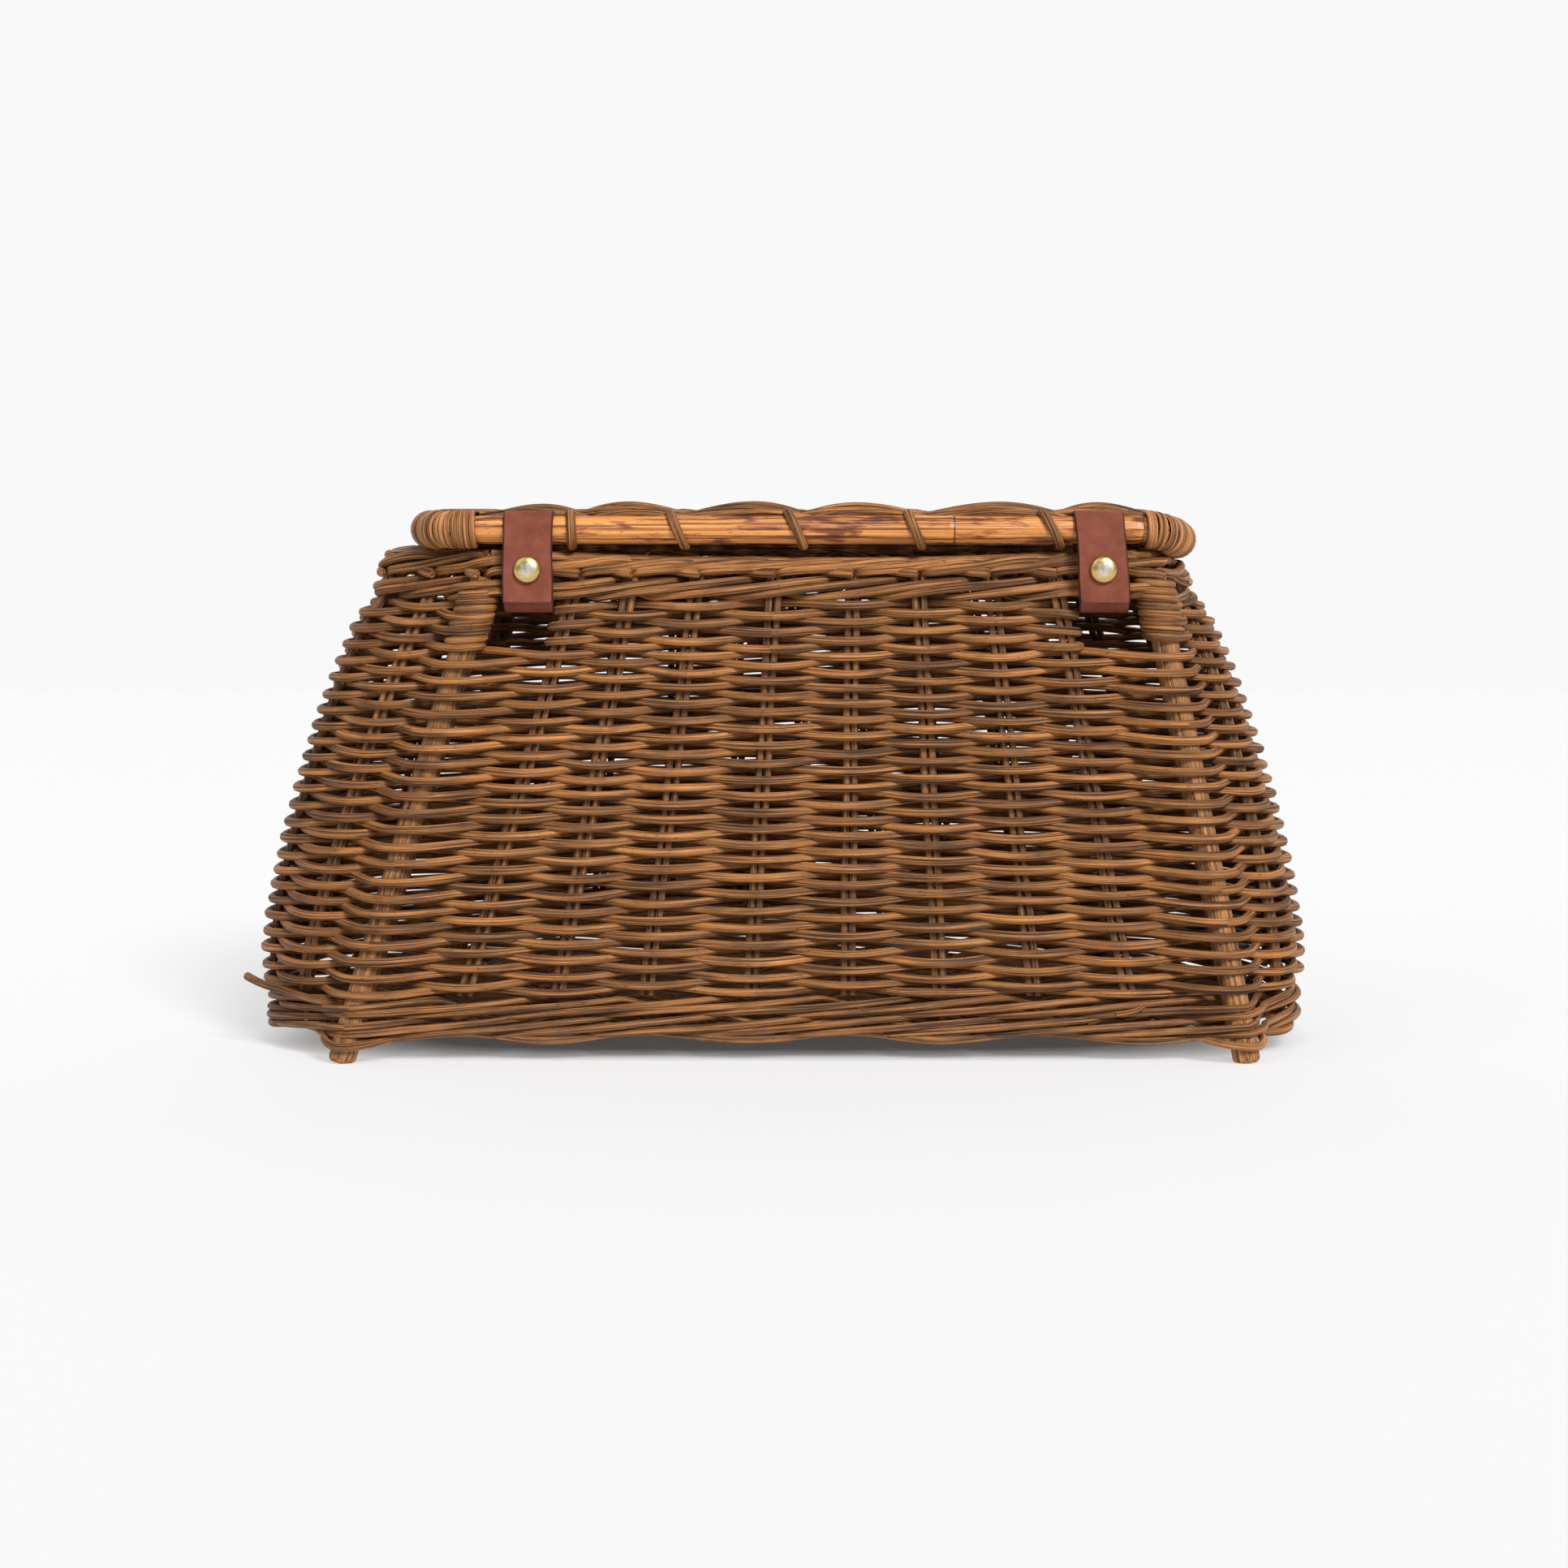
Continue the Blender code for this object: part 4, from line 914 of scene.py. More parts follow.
def wale_strand(number, low, high):
    """One of three rods of a wale: over two stakes as it rises, then behind one as it drops back."""
    bays = np.arange(0, BAYS * WALE_STEPS + 1) / WALE_STEPS
    turn = np.mod(bays - number - 0.42, 3) / 3
    rising = turn < WALE_OUTSIDE
    f = np.where(rising, turn / WALE_OUTSIDE, (turn - WALE_OUTSIDE) / (1 - WALE_OUTSIDE))
    z = np.where(rising, low + (high - low) * f, high - (high - low) * (1 - np.cos(pi * f)) / 2)
    arch = np.clip(np.sin(pi * f), 0, 1) ** 0.75
    post_near = np.clip(1 - np.abs(nearest_post(bays)) / 0.5, 0, 1)
    reach = WALE_REACH + (POST_REACH - STAKE_REACH) * 0.85 * np.sin(pi / 2 * post_near) ** 0.8
    offset = np.where(rising, reach * arch, -reach * arch)
    below = np.clip((BOTTOM_WALE_TOP - z) / (BOTTOM_WALE_TOP - WALE_LOWEST), 0, 1)
    return bays, z, offset - FLANK_DRAWN_IN * on_flank(bays) * below


def nearest_post(bays):
    gaps = [np.mod(bays - post_bay + BAYS / 2, BAYS) - BAYS / 2 for post_bay in POST_BAYS.values()]
    gaps = np.array(gaps)
    return gaps[np.argmin(np.abs(gaps), axis=0), np.arange(len(bays))]


def wale(name, rounds, cane, node, material, hangs):
    strands = Strands()
    for low, high in rounds:
        for number in range(3):
            bays, z, offset = wale_strand(number, low, high)
            path = on_wall(bays, z + smooth_noise(len(bays), 0.0005, 24),
                           offset + smooth_noise(len(bays), 0.0005, 40), 0.26)
            if hangs:
                path[:, 2] -= droop(path[:, 0])
            ring = np.concatenate((path[-2:-1], path, path[1:2]))
            # Painted shade: the bottom wale's rods take low tones, 0 to 0.24, so the wale at the foot of the
            # wall is darker; the top wale keeps a middle tone of 0.45.
            strands.tube(path, cane * rng.uniform(0.95, 1.05), normal=outward_3d(bays, z), sides=10, ends="",
                         along=unit(ring[2:] - ring[:-2]), tone=0.45 if hangs else 0.12 * number)
    place(strands, name, material, node, "basket")


def smooth_noise(count, amount, wavelength):
    """Slow seeded wander, periodic so that a closed strand joins up."""
    t = np.arange(count) / max(1, count - 1) * 2 * pi
    total = np.zeros(count)
    for harmonic in range(2, max(3, count // wavelength)):
        total += rng.normal() * np.sin(harmonic * t + rng.uniform(0, 2 * pi)) / sqrt(harmonic)
    return amount * total / (np.abs(total).max() + 1e-9)


BORDER_COURSE = (  # bays along, offset out, height from the wale (0) to the border's top (1)
    (0.00, -0.0010, -0.30),
    (0.06, 0.0016, 0.02),
    (0.22, 0.0031, 0.16),
    (0.75, 0.0033, 0.44),
    (1.30, 0.0028, 0.84),
    (1.72, 0.0012, 1.02),
    (2.10, -0.0018, 0.78),
    (2.40, -0.0022, 0.36),
    (2.60, 0.0004, 0.16),
    (2.78, 0.0034, 0.02),
    (2.99, 0.0050, -0.08),
)
INNER_COURSE = (  # the pair's other cane keeps to the inside
    (0.10, -0.0012, -0.30),
    (0.20, -0.0028, 0.05),
    (0.60, -0.0034, 0.42),
    (1.15, -0.0026, 0.88),
    (1.70, -0.0006, 1.02),
    (2.20, -0.0020, 0.80),
    (2.60, -0.0034, 0.38),
    (2.85, -0.0036, 0.10),
)


def border(material):
    """Each stake bends down to the right, over the next and in behind; its cut end comes out below."""
    strands = Strands()
    bottom = TOP_WALE_TOP + BORDER_CANE * 0.9
    for bay, shape in ((bay, shape) for bay in range(BAYS) for shape in (BORDER_COURSE, INNER_COURSE)):
        course = np.array(shape)
        course[:, 0] += bay + rng.normal(0, 0.03)
        course[1:-2, 1] += rng.normal(0, 0.00015, len(course) - 3)
        course[1:-2, 2] += rng.normal(0, 0.035, len(course) - 3)
        fine = smooth(course, 6)
        bays = fine[:, 0]
        top = BORDER_TOP - BORDER_CANE * 1.05 - hinge_sag(bays)
        z = bottom + (top - bottom) * fine[:, 2]
        post_near = np.clip(1 - np.abs(nearest_post(bays)) / 0.4, 0, 1)
        path = on_wall(bays, z, fine[:, 1] * (1 + 0.35 * post_near))
        path[:, 2] -= droop(path[:, 0])
        strands.tube(path, BORDER_CANE * rng.uniform(0.94, 1.03), BORDER_CANE * 0.94, outward_3d(bays, z),
                     sides=12, ends="cut")
    bays = np.arange(0, BAYS * 6 + 1) / 6
    far_side = np.clip(np.minimum(bays - FAR_SIDE[0], FAR_SIDE[1] - bays) / 1.5, 0, 1)
    z = BORDER_TOP - BORDER_CORE * 0.95 - hinge_sag(bays) + FAR_SIDE_RISE * far_side
    path = on_wall(bays, z, -0.0004)
    path[:, 2] -= droop(path[:, 0])
    strands.tube(path, BORDER_CORE, normal=outward_3d(bays, z), sides=10, ends="")
    fibres(strands)
    place(strands, "rim_border_canes", material, "rim_border", "basket")


# ---------------------------------------------------------------- base

MAT_PITCH = 0.0033
MAT_CANE = 0.0016


def crossings(outline, y):
    """Lowest and highest x where the outline passes this y."""
    following = np.roll(outline, -1, axis=0)
    below = outline[:, 1] <= y
    crossed = below != (following[:, 1] <= y)
    a = outline[crossed]
    b = following[crossed]
    share = (y - a[:, 1]) / (b[:, 1] - a[:, 1])
    x = a[:, 0] + (b[:, 0] - a[:, 0]) * share
    return x.min(), x.max()


Mat = namedtuple("Mat", "height stick_steps stick_apart stick_radius reach sway widths sides beyond")


def woven_mat(strands, kind, outline, sticks, stick_start, y_start, y_end):
    """Weavers along x over pairs of sticks along y, clipped by an outline."""
    for x in sticks:
        low, high = crossings(outline[:, ::-1], x)
        for side in (-1, 1):
            y = np.linspace(max(low, stick_start), high, kind.stick_steps)
            path = np.stack((np.full(len(y), x + side * kind.stick_apart), y, kind.height(x, y)), axis=1)
            strands.tube(path, kind.stick_radius, sides=8)
    for number in range(int((y_end - y_start) / MAT_PITCH)):
        y = y_start + (number + 0.5) * MAT_PITCH
        low, high = crossings(outline, y)
        x = np.linspace(low, high, int((high - low) / 0.0030))
        before = np.minimum(x - sticks[0], 0) / (sticks[1] - sticks[0])
        after = np.maximum(x - sticks[-1], 0) / (sticks[-1] - sticks[-2])
        phase = np.interp(x, sticks, np.arange(len(sticks))) + (before + after) * kind.beyond
        wave = np.cos(pi * phase) * (1 if number % 2 else -1)
        way = y + wave * MAT_PITCH * kind.sway + smooth_noise(len(x), 0.0003, 10)
        path = np.stack((x, way, kind.height(x, y) + kind.reach * wave), axis=1)
        strands.tube(path, MAT_CANE * rng.uniform(*kind.widths), sides=kind.sides, ends="round")


def base_height(x, y):
    return np.full(np.broadcast(x, y).shape, 0.0142)


BASE_MAT = Mat(base_height, 20, 0.001575, 0.0015, 0.0030, 0.22, (0.93, 1.04), 7, 1)


def foot_loops(strands):
    """Under the wale a cane hooks round the foot of each post, and one more row keeps behind the wale."""
    for bay in POST_BAYS.values():
        bays = bay + np.array((-0.62, -0.42, -0.2, 0.0, 0.2, 0.42, 0.62))
        z = np.array((0.0125, 0.0098, 0.0078, 0.0066, 0.0074, 0.0092, 0.0120))
        offset = np.array((-0.004, 0.0008, 0.0056, 0.0070, 0.0056, 0.0008, -0.004))
        path = smooth(on_wall(bays, z, offset, 0.2), 7)
        strands.tube(path, 0.0016, sides=10, ends="round")
    bays = np.linspace(0, BAYS, 361)
    swing = np.cos(pi * bays)
    offset = 0.0002 + 0.0024 * swing - FLANK_DRAWN_IN * on_flank(bays)
    path = on_wall(bays, 0.0090 - 0.0012 * swing, offset, 0.2)
    strands.tube(path, 0.0016, sides=10, ends="")


def base_mat(material):
    strands = Strands()
    foot_loops(strands)
    low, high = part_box("base_weave")
    outline = on_wall(np.linspace(0, BAYS, 360, endpoint=False), BASE_Z, -0.0030)[:, :2]
    sticks = np.linspace(low[0] + 0.022, high[0] - 0.022, 13)
    nearest = outline[:, 1].min()
    farthest = outline[:, 1].max()
    woven_mat(strands, BASE_MAT, outline, sticks, nearest, nearest + 0.0015, farthest - 0.0015)
    place(strands, "base_weave_canes", material, "base_weave", "basket")


# ---------------------------------------------------------------- lid

def hoop_corner(rod_end, widest, side):
    """From the rod's end out round the corner, as (x, y)."""
    start = rod_end + side * HOOP_JOINT_GAP
    bend = start + side * HOOP_STUB
    power = 2 / HOOP_CORNER_SQUARENESS
    points = [(start, ROD_Y)]
    for i in range(8):
        angle = pi / 2 * i / 8
        x = bend + (widest - bend) * sin(angle) ** power
        points.append((x, ROD_Y + HOOP_CORNER * (1 - cos(angle) ** power)))
    return points


def hoop_path():
    """The middle of the hoop, from the rod's left end round the front to its right end."""
    left = hoop_corner(ROD_LEFT_X, HOOP_LEFT_X, -1)
    right = hoop_corner(ROD_RIGHT_X, HOOP_RIGHT_X, 1)
    middle = (HOOP_LEFT_X + HOOP_RIGHT_X) / 2
    half = (HOOP_RIGHT_X - HOOP_LEFT_X) / 2
    side_y = ROD_Y + HOOP_CORNER
    depth = HOOP_FRONT_Y - side_y
    power = 2 / FRONT_SQUARENESS
    front = []
    for i in range(29):
        angle = pi * i / 28
        reach = -np.sign(cos(angle)) * abs(cos(angle)) ** power
        front.append((middle + half * reach, side_y + depth * sin(angle) ** power))
    points = np.array(left + front + right[::-1])
    z = ROD_Z - droop(points[:, 0])
    return np.concatenate((points, z[:, None]), axis=1)


def hoop(material):
    """Fine flat cane wound round a bent core, closer on the left than on the right."""
    strands = Strands()
    route = hoop_path()
    route[0, 0] += HOOP_LAP
    route[-1, 0] -= HOOP_LAP
    core, run = resampled(route, WRAP_STEP)
    core = rounded(core, 30)
    strands.tube(core[::4], HOOP_RADIUS - 0.0019, normal=UP, sides=16, tone=0.1)
    pitch = np.interp(run, (0, 0.07, 0.30, run[-1] - 0.07, run[-1]), (0.0019, 0.0021, 0.0027, 0.0031, 0.0031))
    turns = np.cumsum(WRAP_STEP / pitch)
    wanted = np.arange(0.3, turns[-1] - 0.6, 1 / WRAP_SECTIONS)
    places = np.interp(wanted, turns, np.arange(len(turns)))
    here = sampled(core, places)
    along = unit(sampled(directions(core), places))
    across = unit(np.cross(UP, along))
    up = np.cross(along, across)
    number = np.floor(wanted).astype(int)
    jitter = rng.normal(0, 1, number.max() + 3)
    f = wanted - number
    wobble = jitter[number] * (1 - f) + jitter[number + 1] * f
    angle = 2 * pi * wanted
    width = np.interp(places, np.arange(len(pitch)), pitch) * 0.62
    radius = HOOP_RADIUS - WRAP_CANE + 0.00012 * wobble
    slant = 0.00025 * wobble
    out = across * np.cos(angle)[:, None] + up * np.sin(angle)[:, None]
    path = here + out * radius[:, None] + along * slant[:, None]
    for start in range(0, len(path) - 1, WRAP_SECTIONS * WRAP_TURNS):
        piece = slice(start, start + WRAP_SECTIONS * WRAP_TURNS + 1)
        strands.tube(path[piece], width[piece], WRAP_CANE, out[piece], sides=8, ends="")
    place(strands, "lid_hoop_wrapping", material, "lid_hoop", "lid")


CRACKS = (  # angle up from the front, from x, to x, depth
    (0.35, -0.118, 0.010, 0.9), (0.95, -0.060, 0.085, 1.0), (1.62, -0.110, -0.050, 0.8),
    (1.25, 0.070, 0.136, 1.0), (2.05, -0.040, 0.040, 0.7), (0.70, 0.020, 0.062, 0.8),
    (2.50, 0.068, 0.120, 0.6), (5.60, -0.100, 0.110, 0.8), (4.30, -0.090, 0.060, 0.7),
    (3.30, -0.02, 0.10, 0.6),
)


def rod(material):
    """A bare length of rattan: slightly faceted, with lengthwise cracks, a node and rounded ends."""
    strands = Strands()
    length = ROD_RIGHT_X - ROD_LEFT_X
    x = ROD_LEFT_X + length * np.linspace(0, 1, 420)
    sides = 72
    path = np.stack((x, np.full(len(x), ROD_Y), np.full(len(x), ROD_Z)), axis=1)
    strands.tube(path, ROD_RADIUS, normal=UP, sides=sides, ends="round")
    points = strands.points[0].reshape(len(x), sides, 3)
    turn = np.arctan2(points[0, :, 2] - ROD_Z, ROD_Y - points[0, :, 1])
    scale, marks = rod_surface(x, turn)
    middle = path[:, None]
    shaped = middle + (points - middle) * scale[..., None]
    strands.points[0] = shaped.reshape(-1, 3)
    strands.normals[0] = grid_normals(shaped, middle).reshape(-1, 3)
    strands.tone[0] = marks.ravel()
    for i in range(1, len(strands.tone)):
        strands.tone[i] = np.zeros(len(strands.tone[i]))
    shrink_ends(place(strands, "lid_rod_rattan", material, "lid_rod", "lid"))


def grid_normals(grid, middle):
    """Normals of a closed grid of rings, facing away from its middle line."""
    lengthwise = np.gradient(grid, axis=0)
    round_it = np.roll(grid, -1, axis=1) - np.roll(grid, 1, axis=1)
    normals = unit(np.cross(lengthwise, round_it))
    facing = np.sign(np.sum(normals * (grid - middle), axis=-1, keepdims=True))
    return normals * facing


def rod_surface(x, turn):
    """How far the skin stands, as a share of the radius, and how cracked it is, at each (x, turn)."""
    facets = 0.012 * np.cos(turn * 5 + 0.6)[None, :] + 0.008 * np.sin(turn * 3)[None, :]
    slow = 0.012 * np.sin(x * 55)[:, None] + 0.008 * np.sin(x * 140 + 1)[:, None]
    node = 0.035 * np.exp(-((x - ROD_NODE_X) / 0.0012) ** 2) + 0.018 * (x < ROD_NODE_X)
    scale = 0.965 + facets * 0.8 + slow * 0.6 + node[:, None]
    ends = np.minimum(x - x[0], x[-1] - x)
    scale -= 0.10 * np.exp(-ends / 0.0014)[:, None]
    marks = np.zeros_like(scale)
    for angle, start, stop, depth in CRACKS:
        wander = angle + 0.10 * np.sin(x * 46 + angle * 7) + 0.03 * np.sin(x * 300 + angle)
        away = np.angle(np.exp(1j * (turn[None, :] - wander[:, None])))
        inside = np.clip((x - start) / 0.008, 0, 1) * np.clip((stop - x) / 0.008, 0, 1)
        cut = np.exp(-(away / 0.055) ** 2) * inside[:, None] * depth
        scale -= 0.055 * cut
        marks = np.maximum(marks, cut)
    ring = np.exp(-((x - ROD_NODE_X - 0.0016) / 0.0004) ** 2)[:, None]
    return scale, np.clip(np.maximum(marks, ring * 0.8), 0, 1)


def shrink_ends(obj):
    """Keeps the rounded ends inside the rod's own length."""
    for vertex in obj.data.vertices:
        vertex.co.x = min(max(vertex.co.x, ROD_LEFT_X), ROD_RIGHT_X)


def lashings(material):
    """One turn of cane round the rod at each lashing, with a slant, its ends tucked in at the back."""
    slants = (0.0003, 0.0028, 0.0031, 0.0027, 0.0035)
    angles = np.linspace(radians(-150), radians(235), 60)
    ends_near = np.abs(np.linspace(-0.5, 0.5, 60))
    taper = 1 - 0.35 * np.clip((ends_near - 0.42) / 0.08, 0, 1)
    normal = np.stack((np.zeros(60), -np.cos(angles), np.sin(angles)), axis=1)
    reach = ROD_RADIUS + 0.0009
    for i, (x, slant) in enumerate(zip(LASHING_X, slants)):
        strands = Strands()
        bow = 0.0004 * np.cos(angles) * (-1) ** i
        px = x - slant * np.sin(angles) + bow
        pz = ROD_Z + (reach + 0.0003) * np.sin(angles)
        path = np.stack((px, ROD_Y - reach * np.cos(angles), pz), axis=1)
        strands.tube(path, 0.00185 * taper, 0.00125, normal, sides=12, ends="cut")
        place(strands, f"lid_lashing_{i + 1}_cane", material, f"lid_lashing_{i + 1}", "lid")


def lid_height(x, y):
    """Middle of the lid's weave, slightly domed and drooping on the right with the hoop."""
    share = np.clip((y - ROD_Y) / (HOOP_FRONT_Y - ROD_Y), 0, 1)
    return ROD_Z + 0.0030 - droop(x) * 0.9 + 0.0012 * np.sin(pi * share)


LID_STICKS = (-0.1190, -0.1000, -0.0820, -0.0625, -0.0408, -0.0180, 0.0044, 0.0275, 0.0505, 0.0760, 0.1030,
              0.1330)
LID_MAT = Mat(lid_height, 24, 0.0015, 0.0014, 0.0026, 0.20, (0.94, 1.05), 8, 0)


def lid_mat(material):
    """The lid's weave: sticks from the rod to the hoop, with the first weavers humping up over the rod."""
    strands = Strands()
    ring, _ = resampled(hoop_path(), 0.004)
    inner = inset(ring[:, :2], HOOP_RADIUS * 0.55)
    outline = np.concatenate((inner, np.array([[ROD_RIGHT_X, ROD_Y], [ROD_LEFT_X, ROD_Y]])))
    woven_mat(strands, LID_MAT, outline, np.array(LID_STICKS), ROD_Y + 0.0030, ROD_Y + 0.0086,
              HOOP_FRONT_Y - HOOP_RADIUS * 0.6)
    for distance in (HOOP_RADIUS * 0.95, HOOP_RADIUS * 1.36):
        edge = inset(ring[:, :2], distance)[5:-5]
        x, y = edge.T
        z = lid_height(x, y) + smooth_noise(len(x), 0.0006, 8)
        strands.tube(np.stack((x, y, z), axis=1), 0.0016, sides=8, ends="round")
    rod_humps(strands)
    place(strands, "lid_weave_canes", material, "lid_weave", "lid")


HUMP_HEIGHTS = (0.0036, 0.0045, 0.0046, 0.0042, 0.0044, 0.0042)


def rod_humps(strands):
    """Two canes that arch over the back of the rod from each lashing to the next."""
    stops = (ROD_LEFT_X + 0.004, *LASHING_X, ROD_RIGHT_X - 0.002)
    for i in range(len(stops) - 1):
        start = stops[i]
        stop = stops[i + 1]
        for lead, top, back in ((0.0, 0.60, 0.0040), (0.006, 1.0, 0.0068), (0.013, 0.42, 0.0028)):
            f = np.linspace(0, 1, 30)
            x = start - 0.005 + lead + (stop - start + 0.011 - lead) * f
            peak = f + 0.22 * f * (1 - f) * (1 if i % 2 else -1)
            arch = np.sin(pi * np.clip(peak, 0, 1))
            z = ROD_Z + 0.0040 + HUMP_HEIGHTS[i] * top * arch + 0.0008 * arch ** 0.4
            y = ROD_Y + back + 0.0012 * np.cos(pi * f)
            path = np.stack((x, y, z), axis=1)
            strands.tube(path, 0.0015 if top < 1 else 0.0017, sides=10, ends="round")


def inset(points, distance):
    left = path_normals(points)
    centre = points.mean(axis=0)
    inward = np.sign(np.sum((centre - points) * left, axis=1))[:, None]
    return points + left * inward * distance


# ---------------------------------------------------------------- leather

def strap_section(width, thickness):
    """Round a strip's section: places across, heights, and how far each is a cut edge."""
    thick = thickness / 2
    corner = thick * 0.8
    flat = width / 2 - corner
    points = []
    for way in (1, -1):
        for s in np.linspace(-1, 1, 13):
            points.append((way * s * flat, way * thick, 0.0 if abs(s) < 0.93 else 0.45))
        for angle in np.radians((60, 20, -20, -60)):
            points.append((way * (flat + corner * cos(angle)), way * thick * sin(angle), 0.9))
    return np.array(points)


def strap_strip(strands, path, normals, width, x, lean=0.0, pivot=0.0, turned_over=False):
    """A leather strip with rounded edges along a path in the (y, z) plane; lean turns it about its rivet."""
    run = distances(path)
    section = strap_section(width, LEATHER)
    across, lift, edge = section.T if turned_over else section[::-1].T
    ripple = 0.0003 * (np.sin(run * 210) + 0.6 * np.sin(run * 95 + 1))[:, None]
    px = x + across + ripple * np.sign(across) * 0.5 + (pivot - path[:, 1])[:, None] * lean
    py = path[:, :1] + normals[:, :1] * lift
    pz = path[:, 1:] + normals[:, 1:] * lift
    rings = np.stack((px, py, pz), axis=-1)
    grain = np.stack(np.broadcast_arrays(across, run[:, None], lift), axis=-1) + rng.random(3)
    tone = np.tile(edge, (len(path), 1))
    tone[[0, -1]] = np.maximum(tone[[0, -1]], 0.8)
    flat = np.abs(lift) >= LEATHER / 2 * 0.99
    upright = np.concatenate((np.zeros((len(path), 1)), normals), axis=1)
    skin = upright[:, None] * np.sign(lift)[None, :, None]
    away = (rings - rings.mean(axis=1, keepdims=True)) * (1, 0, 0)
    facing = unit(np.where(flat[None, :, None], skin, unit(away + skin * 0.004)))
    strands.skin(strands.add_points(rings, facing, grain, tone))
    along = directions(np.concatenate((np.zeros((len(path), 1)), path), axis=1))
    for which, sign, flip in ENDS:
        out = along[which] * sign
        loop = strands.add_points(rings[which], out, grain[which], 1.0)
        strands.fan(loop, rings[which].mean(axis=0), out, grain[which].mean(axis=0), 1.0, not flip)


def arc(centre, radius, start, stop, steps):
    angles = np.radians(np.linspace(start, stop, steps))
    return np.stack((centre[0] + radius * np.cos(angles), centre[1] + radius * np.sin(angles)), axis=1)


def line(a, b, steps):
    return np.array(a) + (np.array(b) - np.array(a)) * np.linspace(0, 1, steps)[:, None]


def hinge_strap_path():
    """(y, z): up the outside, over the rod, down inside the wall, out through the slot, up under itself."""
    round_rod = ROD_RADIUS + 0.0003 + LEATHER / 2
    over = arc((ROD_Y, ROD_Z), round_rod, 168, 0, 26)
    outer = (ROD_Y + OUTER_LAYER_Y, STRAP_END_Z)
    shoulder = (ROD_Y + OUTER_LAYER_Y, STRAP_TUCK_TOP)
    inside = (ROD_Y + INSIDE_LEG_Y, STRAP_FOLD_Z + FOLD_RADIUS + 0.002)
    inner_y = ROD_Y + INNER_LAYER_Y
    leg_y = ROD_Y + INSIDE_LEG_Y
    fold = line((leg_y, STRAP_FOLD_Z + 0.003), (leg_y - 0.002, STRAP_FOLD_Z - 0.001), 4)
    back = line((leg_y - 0.004, STRAP_FOLD_Z - 0.0018), (inner_y + 0.003, STRAP_FOLD_Z - 0.0018), 8)
    tuck = line((inner_y, STRAP_FOLD_Z + 0.0012), (inner_y, STRAP_TUCK_TOP), 12)
    corners = np.concatenate((line(outer, shoulder, 16), line(shoulder, over[0], 6)[1:-1], over,
                              line(inside + np.array((0, 0.01)), inside, 8), fold, back, tuck))
    return rounded(resampled(corners, LEATHER / 2)[0], 6)


def hinge_strap(side, x, lean, material):
    strands = Strands()
    path = hinge_strap_path()
    strap_strip(strands, path, path_normals(path), STRAP_WIDTH, x, lean, 0.1875)
    node = "hinge_strap_" + side
    place(strands, node + "_leather", material, node, "basket")


def closure_strap(material):
    """A strip looped round the front of the hoop, riveted to itself, with its tail over the stud."""
    strands = Strands()
    around = HOOP_RADIUS + CLOSURE_LOOP_GAP + LEATHER / 2
    centre = np.array((HOOP_FRONT_Y, ROD_Z))
    down = np.array((sin(CLOSURE_TAIL_ANGLE), -cos(CLOSURE_TAIL_ANGLE)))
    out = np.array((cos(CLOSURE_TAIL_ANGLE), sin(CLOSURE_TAIL_ANGLE)))
    tail = centre + out * around
    back = centre + out * (around - LEATHER - 0.0003)
    loop = arc(centre, around, 1.5, 275, 40)
    path = np.concatenate((line(tail + down * CLOSURE_TAIL_LENGTH, tail, 40)[:-1], loop,
                           line(back + down * 0.0110, back + down * CLOSURE_OVERLAP, 12)))
    path = rounded(resampled(path, LEATHER / 2)[0], 5)
    strap_strip(strands, path, -path_normals(path), CLOSURE_WIDTH, CLOSURE_X, turned_over=True)
    place(strands, "closure_strap_leather", material, "closure_strap", "closure")


# ---------------------------------------------------------------- brass

def turned(strands, seat, axis, profile, tones, steps=48):
    """A round part: (radius, height along the axis) from its closed bottom to its closed top."""
    profile = np.array(profile)
    axis = unit(np.array(axis, dtype=float))
    side = unit(np.cross(axis, (1.0, 0.0, 0.0)))
    up = np.cross(side, axis)
    turn = 2 * pi * np.arange(steps) / steps
    radial = side * np.cos(turn)[:, None] + up * np.sin(turn)[:, None]
    radius = np.maximum(profile[:, 0], 1e-5)
    rings = np.array(seat) + axis * profile[:, 1][:, None, None] + radial[None] * radius[:, None, None]
    slope = np.gradient(profile, axis=0)
    normals = unit(radial[None] * slope[:, 1][:, None, None] - axis * slope[:, 0][:, None, None])
    index = strands.add_points(rings, normals, rings - np.array(seat), np.array(tones)[:, None])
    strands.skin(index)
    for which, sign in ((0, -1), (-1, 1)):
        strands.fan(index[which], rings[which].mean(axis=0), axis * sign, np.zeros(3), tones[which], sign > 0)


def rivet_parts():
    """Height and radius of a domed cap on its shank, and how worn each ring is."""
    profile = [(0.0, -0.0040), (0.0012, -0.0040), (0.0013, -0.0038), (0.0013, 0.0), (0.0013, 0.0),
               (0.0049, 0.0), (0.0052, 0.0001), (0.0053, 0.0004), (0.0052, 0.0008)]
    tones = [0.0] * len(profile)
    for i in range(1, 13):
        angle = pi / 2 * i / 12
        profile.append((0.0051 * cos(angle) ** 0.9, 0.0008 + 0.0018 * sin(angle)))
        tones.append(sin(angle) ** 3 * 0.75)
    return profile, tones


BURR = ((0.0, 0.0), (0.0036, 0.0), (0.0039, 0.0001), (0.0040, 0.0003), (0.0038, 0.0006), (0.0034, 0.0007),
        (0.0019, 0.0007), (0.0015, 0.0007), (0.0012, 0.00065), (0.0006, 0.00069), (0.0, 0.0007))


